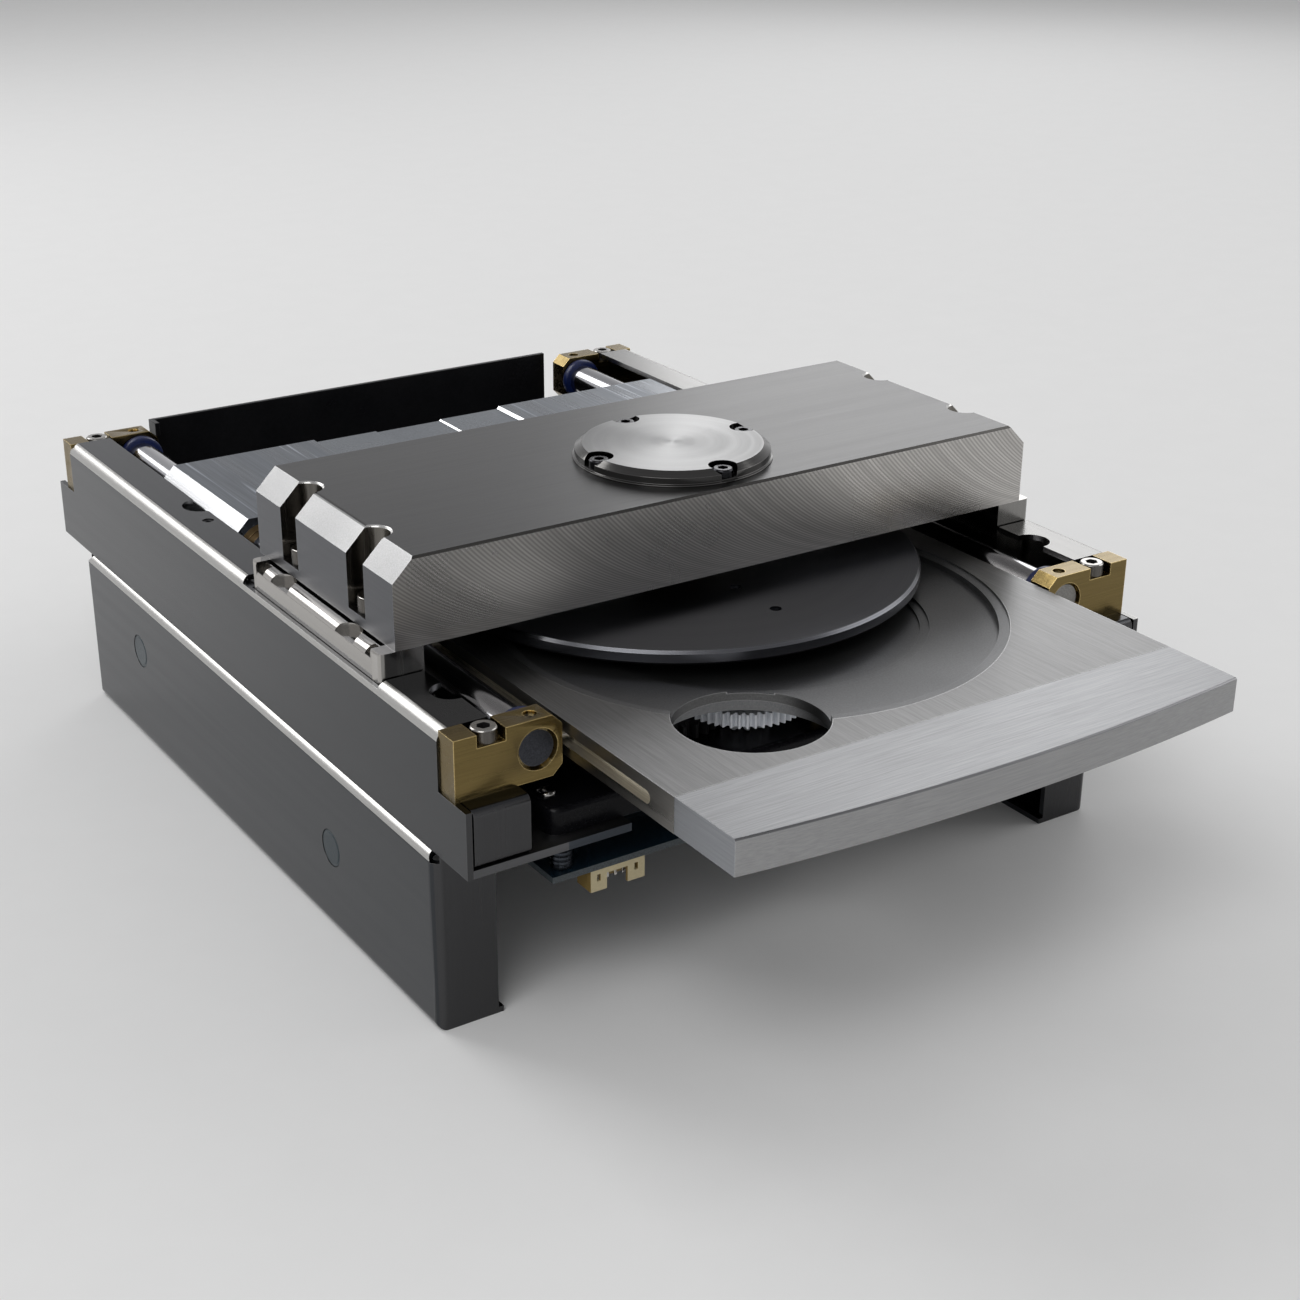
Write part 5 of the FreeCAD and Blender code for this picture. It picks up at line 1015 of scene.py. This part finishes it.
@dataclass
class Tray(SubAssembly):
    """Tray plate with its front band, carriage, bushes, rack and screws."""

    recess_y: float = -88.55
    steps: tuple[Pair, ...] = ((41.7, 3.0), (44.0, 2.5), (60.75, 2.0), (63.4, 0.45))
    spindle_r: float = 17.0
    slot_r: float = 16.0
    slot_end: float = -37.55
    finger: Pair = (-35.5, -137.85)
    finger_r: float = 17.9
    pocket_r: float = 21.5
    pocket_deep: float = 4.1
    groove_y: Pair = (-149.7, -56.55)
    groove_z: float = 70.15
    groove_r: float = 1.55
    groove_deep: float = 2.5
    bow: float = 4.4
    front_edge: float = 0.4
    screw_y: float = 68.65
    screw_xs: tuple[float, ...] = (-60.0, -20.0, 20.0, 60.0)
    head_hole: Pair = (2.4, 2.6)
    side_x: float = 71.0
    smooth_x: Pair = (-38.2, 24.8)
    risers: tuple[Triple, ...] = ((4.2, 0.8, 0.42), (24.6, 0.0, 0.75))

    def recess(self, top: float) -> Piece:
        """Cutter of the stepped disc recess."""
        profile = []
        for number, (radius, depth) in enumerate(self.steps):
            above = self.steps[number + 1][1] if number + 1 < len(self.steps) else -2.0
            profile += [(radius, -depth), (radius, -above)]
        return Bench.turned("recess", (0.0, self.recess_y, top), profile, steps=192)

    def groove(self, sign: float) -> Piece:
        """Cutter of one side groove with round ends."""
        start, end = self.groove_y
        x = self.side_x - self.groove_deep if sign > 0 else -self.side_x - 5.0
        tool = Bench.rod("groove", (x, start, self.groove_z), self.groove_r, 5.0 + self.groove_deep, X, 32)
        return Bench.stretched(tool, lambda p: p.y > start + 0.05, (0.0, end - start, 0.0))

    def plate(self) -> None:
        """Machined tray plate."""
        low, high = box_of("tray_plate")
        top = high.z
        piece = Bench.block("tray_plate_piece", low, high)
        slot = Bench.rod("slot", (0.0, self.recess_y, low.z - 1), self.slot_r, 12.0, steps=96)
        Bench.stretched(slot, lambda p: p.y > self.recess_y + 0.05, (0.0, self.slot_end - self.recess_y, 0.0))
        below = low.z - 1
        tools = [self.recess(top), slot,
                 Bench.rod("spindle_hole", (0.0, self.recess_y, below), self.spindle_r, 12.0, steps=96),
                 Bench.rod("finger_hole", (*self.finger, below), self.finger_r, 12.0, steps=96),
                 Bench.rod("finger_pocket", (*self.finger, below), self.pocket_r, 1.0 + self.pocket_deep, steps=96),
                 self.groove(-1.0), self.groove(1.0)]
        tools += [Bench.rod("head_hole", (x, self.screw_y, below), *self.head_hole, steps=24) for x in self.screw_xs]
        Bench.eased(Bench.cut(piece, tools), 0.18)

        def face(centre: Vector, normal: Vector) -> int:
            """Top brushed, recess blasted, sides satin, grooves bright."""
            if abs((centre.xy - Vector(self.finger)).length - self.finger_r) < 0.3 and normal.z < 0.8:
                return 4
            if abs(centre.x) > self.side_x - 3.0 and centre.z < top - 1.0:
                level = abs(centre.z - self.groove_z) < self.groove_r + 0.2
                return 3 if level and abs(centre.x) < self.side_x - 0.1 else 2
            reach = (centre.xy - Vector((0.0, self.recess_y))).length
            return 1 if reach < self.steps[-1][0] + 0.2 and centre.z < top - 0.1 and normal.z > -0.5 else 0

        self.dress(piece, "tray_plate", (TRAY_TOP, TRAY_BLAST, TRAY_SIDE, TRAY_GROOVE, TRAY_HOLE), face)

    def band(self) -> None:
        """Bowed front band, plain all over."""
        low, high = box_of("tray_front_band")
        half = self.side_x
        radius = (half ** 2 + self.bow ** 2) / (2 * self.bow)
        piece = Bench.block("tray_band_piece", (-half, low.y - 1.0, low.z), (half, high.y, high.z))
        arc = Bench.rod("arc", (0.0, low.y + radius, low.z - 5.0), radius, 20.0, steps=1440)
        Bench.cut(piece, (arc,), "INTERSECT")
        Bench.chamfered(piece, lambda p: p.y < high.y - 15.0 and p.z > high.z - 0.05, self.front_edge)
        Bench.eased(piece, 0.15, sharp=25.0)

        def face(centre: Vector, normal: Vector) -> int:
            """Top, front, the edge between them with a painted dark reflection, or an end."""
            if abs(normal.x) > 0.7:
                return 3
            if normal.y > -0.3:
                return 0
            return 2 if normal.z > 0.3 else 1

        self.dress(piece, "tray_front_band", (BAND, BAND_FRONT, BAND_EDGE_DARK_REFLECTION, BAND_END), face)

    def carriage(self) -> None:
        """Milled carriage: scratched at its ends, smoother between its steps, with a painted highlight on the bars and
        the steps.
        """

        def face(centre: Vector, normal: Vector) -> int:
            """Number of the finish of each kind of face."""
            if abs(normal.x) > 0.3 and (centre.x > 0.0 or centre.x < -70.0):
                return 2
            return 1 if self.smooth_x[0] < centre.x < self.smooth_x[1] else 0

        piece = Bench.node_copy("tray_carriage", "tray_carriage_piece")
        top = box_of("tray_carriage")[1].z
        for x, below, width in self.risers:
            Bench.chamfered(piece, lambda p: abs(p.x - x) < 0.02 and abs(p.z - top + below) < 0.05, width)
        self.dress(Bench.eased(piece, 0.12), "tray_carriage", (CARRIAGE, CARRIAGE_SMOOTH, CARRIAGE_BAR_HIGHLIGHT), face)

    def build(self) -> None:
        """Make and dress every piece."""
        self.plate()
        self.band()
        self.carriage()
        self.refined("shaft_bushes", BRONZE)
        self.refined("tray_rack", GEAR_BLACK, width=0.1, segments=1)
        self.refined("tray_screws", SCREW_STEEL, width=0.1)


@dataclass
class LoaderDrive(SubAssembly):
    """Moulded loader frame with its gears, cam, motors and screws."""

    frame_screws: tuple[Pair, ...] = ((72.4, -111.15), (69.4, -89.65))
    rail_screws: tuple[Pair, ...] = ((92.8, -87.9), (92.8, 94.95))
    frame_top: float = 54.5
    rail_foot: float = 49.5
    head: tuple[Pair, ...] = ((2.3, 0.0), (2.3, 0.3), (2.1, 0.65), (1.75, 0.95), (1.2, 1.17), (0.6, 1.29))
    shanks: Triple = (1.25, 8.5, 3.5)
    cross: Triple = (1.35, 0.24, 0.55)

    def pan_screws(self) -> None:
        """Domed screws with crossed recesses, on the loader frame and on the rails' feet."""
        pieces, (radius, deep, short), (long, narrow, floor) = [], self.shanks, self.cross
        rows = ((self.frame_screws, self.frame_top, deep), (self.rail_screws, self.rail_foot, short))
        for places, z, depth in rows:
            for place in places:
                for sign in (-1.0, 1.0):
                    x, y = sign * place[0], place[1]
                    head = Bench.turned("head", (x, y, z), self.head, steps=48)
                    cross = [Bench.block("cross", (x - a, y - b, z + floor), (x + a, y + b, z + 2.0))
                             for a, b in ((long, narrow), (narrow, long))]
                    pieces += [Bench.cut(head, cross), Bench.rod("shank", (x, y, z - depth), radius, depth, steps=24)]
        screws = Bench.joined(pieces, "pan_screws_piece")
        # Cross recess walls are painted dark as shade.
        self.dress(screws, "pan_screws", (SCREW_STEEL, SCREW_SOCKET_SHADE), lambda c, n: int(c.z % 5.0 > 4.8 and n.z < 0.2))

    def build(self) -> None:
        """Make and dress every piece."""
        self.refined("loader_frame", FRAME_BLACK, width=0.3)
        self.pan_screws()
        for node in ("load_motor", "lift_motor"):
            self.refined(node, MOTOR_CAN, width=0.2)
        for node in ("load_gear", "cam_gear", "slide_cam"):
            self.refined(node, GEAR_BLACK, width=0.08, segments=1)
        self.refined("lift_gear", GEAR_WHITE, width=0.08, segments=1)
        for node in ("load_motor_pinion", "lift_motor_pinion"):
            self.refined(node, PINION, width=0.05, segments=1)


@dataclass
class Electronics(SubAssembly):
    """Circuit board under the base plate, with its standoffs and connector."""

    wall: float = 0.5
    post_places: tuple[Pair, ...] = ((-71.4, -115.65), (-71.4, -83.65), (-12.0, -83.65))
    post_z: Pair = (37.6, 46.0)
    post_r: float = 2.6
    post_rings: int = 7
    board_thick: float = 1.6
    board_screw: Triple = (1.2, 2.0, 1.2)

    def standoffs(self) -> None:
        """Round posts with shallow rings, each with a screw from below the board."""
        low, high = self.post_z
        pitch = (high - low) / self.post_rings
        profile = []
        for ring in range(self.post_rings):
            start = ring * pitch
            profile += [(self.post_r - 0.25, start), (self.post_r, start + 0.3), (self.post_r, start + pitch - 0.35),
                        (self.post_r - 0.25, start + pitch - 0.05)]
        shank_r, head_r, head = self.board_screw
        below = low - self.board_thick
        pieces = []
        for x, y in self.post_places:
            pieces.append(Bench.turned("post", (x, y, low), profile + [(self.post_r - 0.25, high - low)], steps=48))
            pieces.append(Bench.rod("shank", (x, y, below), shank_r, self.board_thick, steps=24))
            pieces.append(Bench.rod("head", (x, y, below - head), head_r, head, steps=32))
        # The posts' dark finish is painted shade.
        self.dress(Bench.joined(pieces, "board_standoffs_piece"), "board_standoffs", (STANDOFF_SHADED,))

    def build(self) -> None:
        """Make and dress every piece."""
        self.refined("circuit_board", BOARD, BOARD_EDGE, width=0.1, choose=lambda c, n: int(abs(n.z) < 0.5))
        self.standoffs()
        low, high = box_of("connector_housing")
        inner = Vector((self.wall, self.wall, 0.0))
        self.refined("connector_housing", CREAM, CREAM_SHADE, width=0.12,
                     choose=lambda c, n: int(all((low + inner)[k] < c[k] < (high - inner)[k] for k in (0, 1))
                                             or n.x < -0.7))
        self.refined("connector_pins", TIN, width=0.05, segments=1)


@dataclass
class LiftUnit(SubAssembly):
    """Lift deck on its posts, with the clamper and the optical sled."""


    def build(self) -> None:
        """Make and dress every piece."""
        for node in ("lift_posts", "sled_shafts", "lead_screw"):
            self.refined(node, SHAFT_STEEL, width=0.1)
        self.refined("lift_deck", DECK, width=0.2)
        self.refined("clamper_bearing", BRONZE)
        self.refined("sled_motor", MOTOR_CAN, width=0.2)
        self.refined("disc_clamper", CLAMPER_BLACK, width=0.2)
        self.refined("optical_sled", SLED, width=0.25)
        self.refined("pickup_lens", LENS, width=0.1)


@dataclass
class Studio:
    """Pale floor, soft lamps and the camera."""

    floor_side: float = 12.0
    floor_colour: Triple = (0.80, 0.80, 0.80)
    eye: Triple = (-286.5, -475.35, 275.5)
    target: Triple = (-6.09, -53.13, 52.25)
    roll: float = 0.39
    lens: float = 58.48

    def floor(self) -> None:
        """Large pale floor."""
        bpy.ops.mesh.primitive_plane_add(size=self.floor_side)
        plane = Bench.settle("floor")
        finish = moulded("floor_paint", self.floor_colour, 0.75, scale=60.0, contrast=0.005, spread=0.02, relief=0.0,
                         wear=0.0)
        plane.data.materials.append(finish.material())

    def lamp(self, name: str, place: Place, aim: Place, size: float, power: float) -> None:
        """Square soft lamp."""
        data = bpy.data.lights.new(name, "AREA")
        data.size = size
        data.energy = power
        lamp = bpy.data.objects.new(name, data)
        bpy.context.scene.collection.objects.link(lamp)
        lamp.location = place
        lamp.rotation_euler = (Vector(aim) - Vector(place)).to_track_quat("-Z", "Y").to_euler()

    def camera(self) -> None:
        """Camera at the photograph's place."""
        data = bpy.data.cameras.new("camera")
        data.lens = self.lens
        data.sensor_width = 36.0
        data.clip_start = 0.01
        camera = bpy.data.objects.new("camera", data)
        bpy.context.scene.collection.objects.link(camera)
        eye, target = Vector(self.eye) * MM, Vector(self.target) * MM
        level = (eye - target).to_track_quat("Z", "Y").to_matrix()
        tilted = level @ Matrix.Rotation(math.radians(self.roll), 3, "Z")
        camera.matrix_world = Matrix.LocRotScale(eye, tilted, None)
        bpy.context.scene.camera = camera

    def world(self) -> None:
        """Pale surround that darkens upwards, and is brighter to the eye than it lights."""
        world = bpy.data.worlds.new("studio")
        bpy.context.scene.world = world
        world.use_nodes = True
        graph = Graph(world.node_tree)
        path = graph.add("LightPath")
        seen = graph.calc("MAXIMUM", path.outputs["Is Camera Ray"], path.outputs["Is Glossy Ray"])
        seen = graph.calc("MAXIMUM", seen, path.outputs["Is Transmission Ray"])
        rise = graph.add("SeparateXYZ", {0: graph.add("TexCoord").outputs["Generated"]}).outputs[2]
        light = graph.add("Background", {"Color": (1.0, 1.0, 1.0, 1.0), "Strength": 0.40})
        look = graph.add("Background", {"Color": graph.mix(graph.fit(rise, 0.05, 0.75), (0.84, 0.84, 0.85),
                                                           (0.34, 0.34, 0.35)), "Strength": 1.0})
        both = graph.add("MixShader", {0: seen, 1: light.outputs[0], 2: look.outputs[0]})
        graph.add("OutputWorld", {"Surface": both.outputs[0]})

    def build(self) -> None:
        """Set the whole stage."""
        self.camera()
        self.world()
        self.floor()
        self.lamp("key", (-0.9, -0.7, 1.3), (0.0, -0.05, 0.05), 0.9, 9.0)
        self.lamp("rear", (-0.5, 1.2, 1.0), (0.0, 0.0, 0.06), 0.8, 8.0)
        self.lamp("side", (1.3, -0.4, 0.8), (0.0, -0.05, 0.05), 0.9, 4.0)
        self.lamp("back_right", (1.15, 1.1, 0.75), (0.0, -0.05, 0.08), 0.7, 2.8)
        bpy.context.scene.view_settings.view_transform = "Standard"


def main() -> None:
    """Build the sub-assemblies in order and note the sizes."""
    logging.basicConfig(level=logging.INFO, format="%(message)s")
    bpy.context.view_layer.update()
    for part in (FoldedFrame(), ShaftSupports(), BridgeUnit(), SpindleUnit(), Tray(), LoaderDrive(), Electronics(),
                 LiftUnit()):
        part.build()
    Studio().build()


if __name__ == "__main__":
    main()
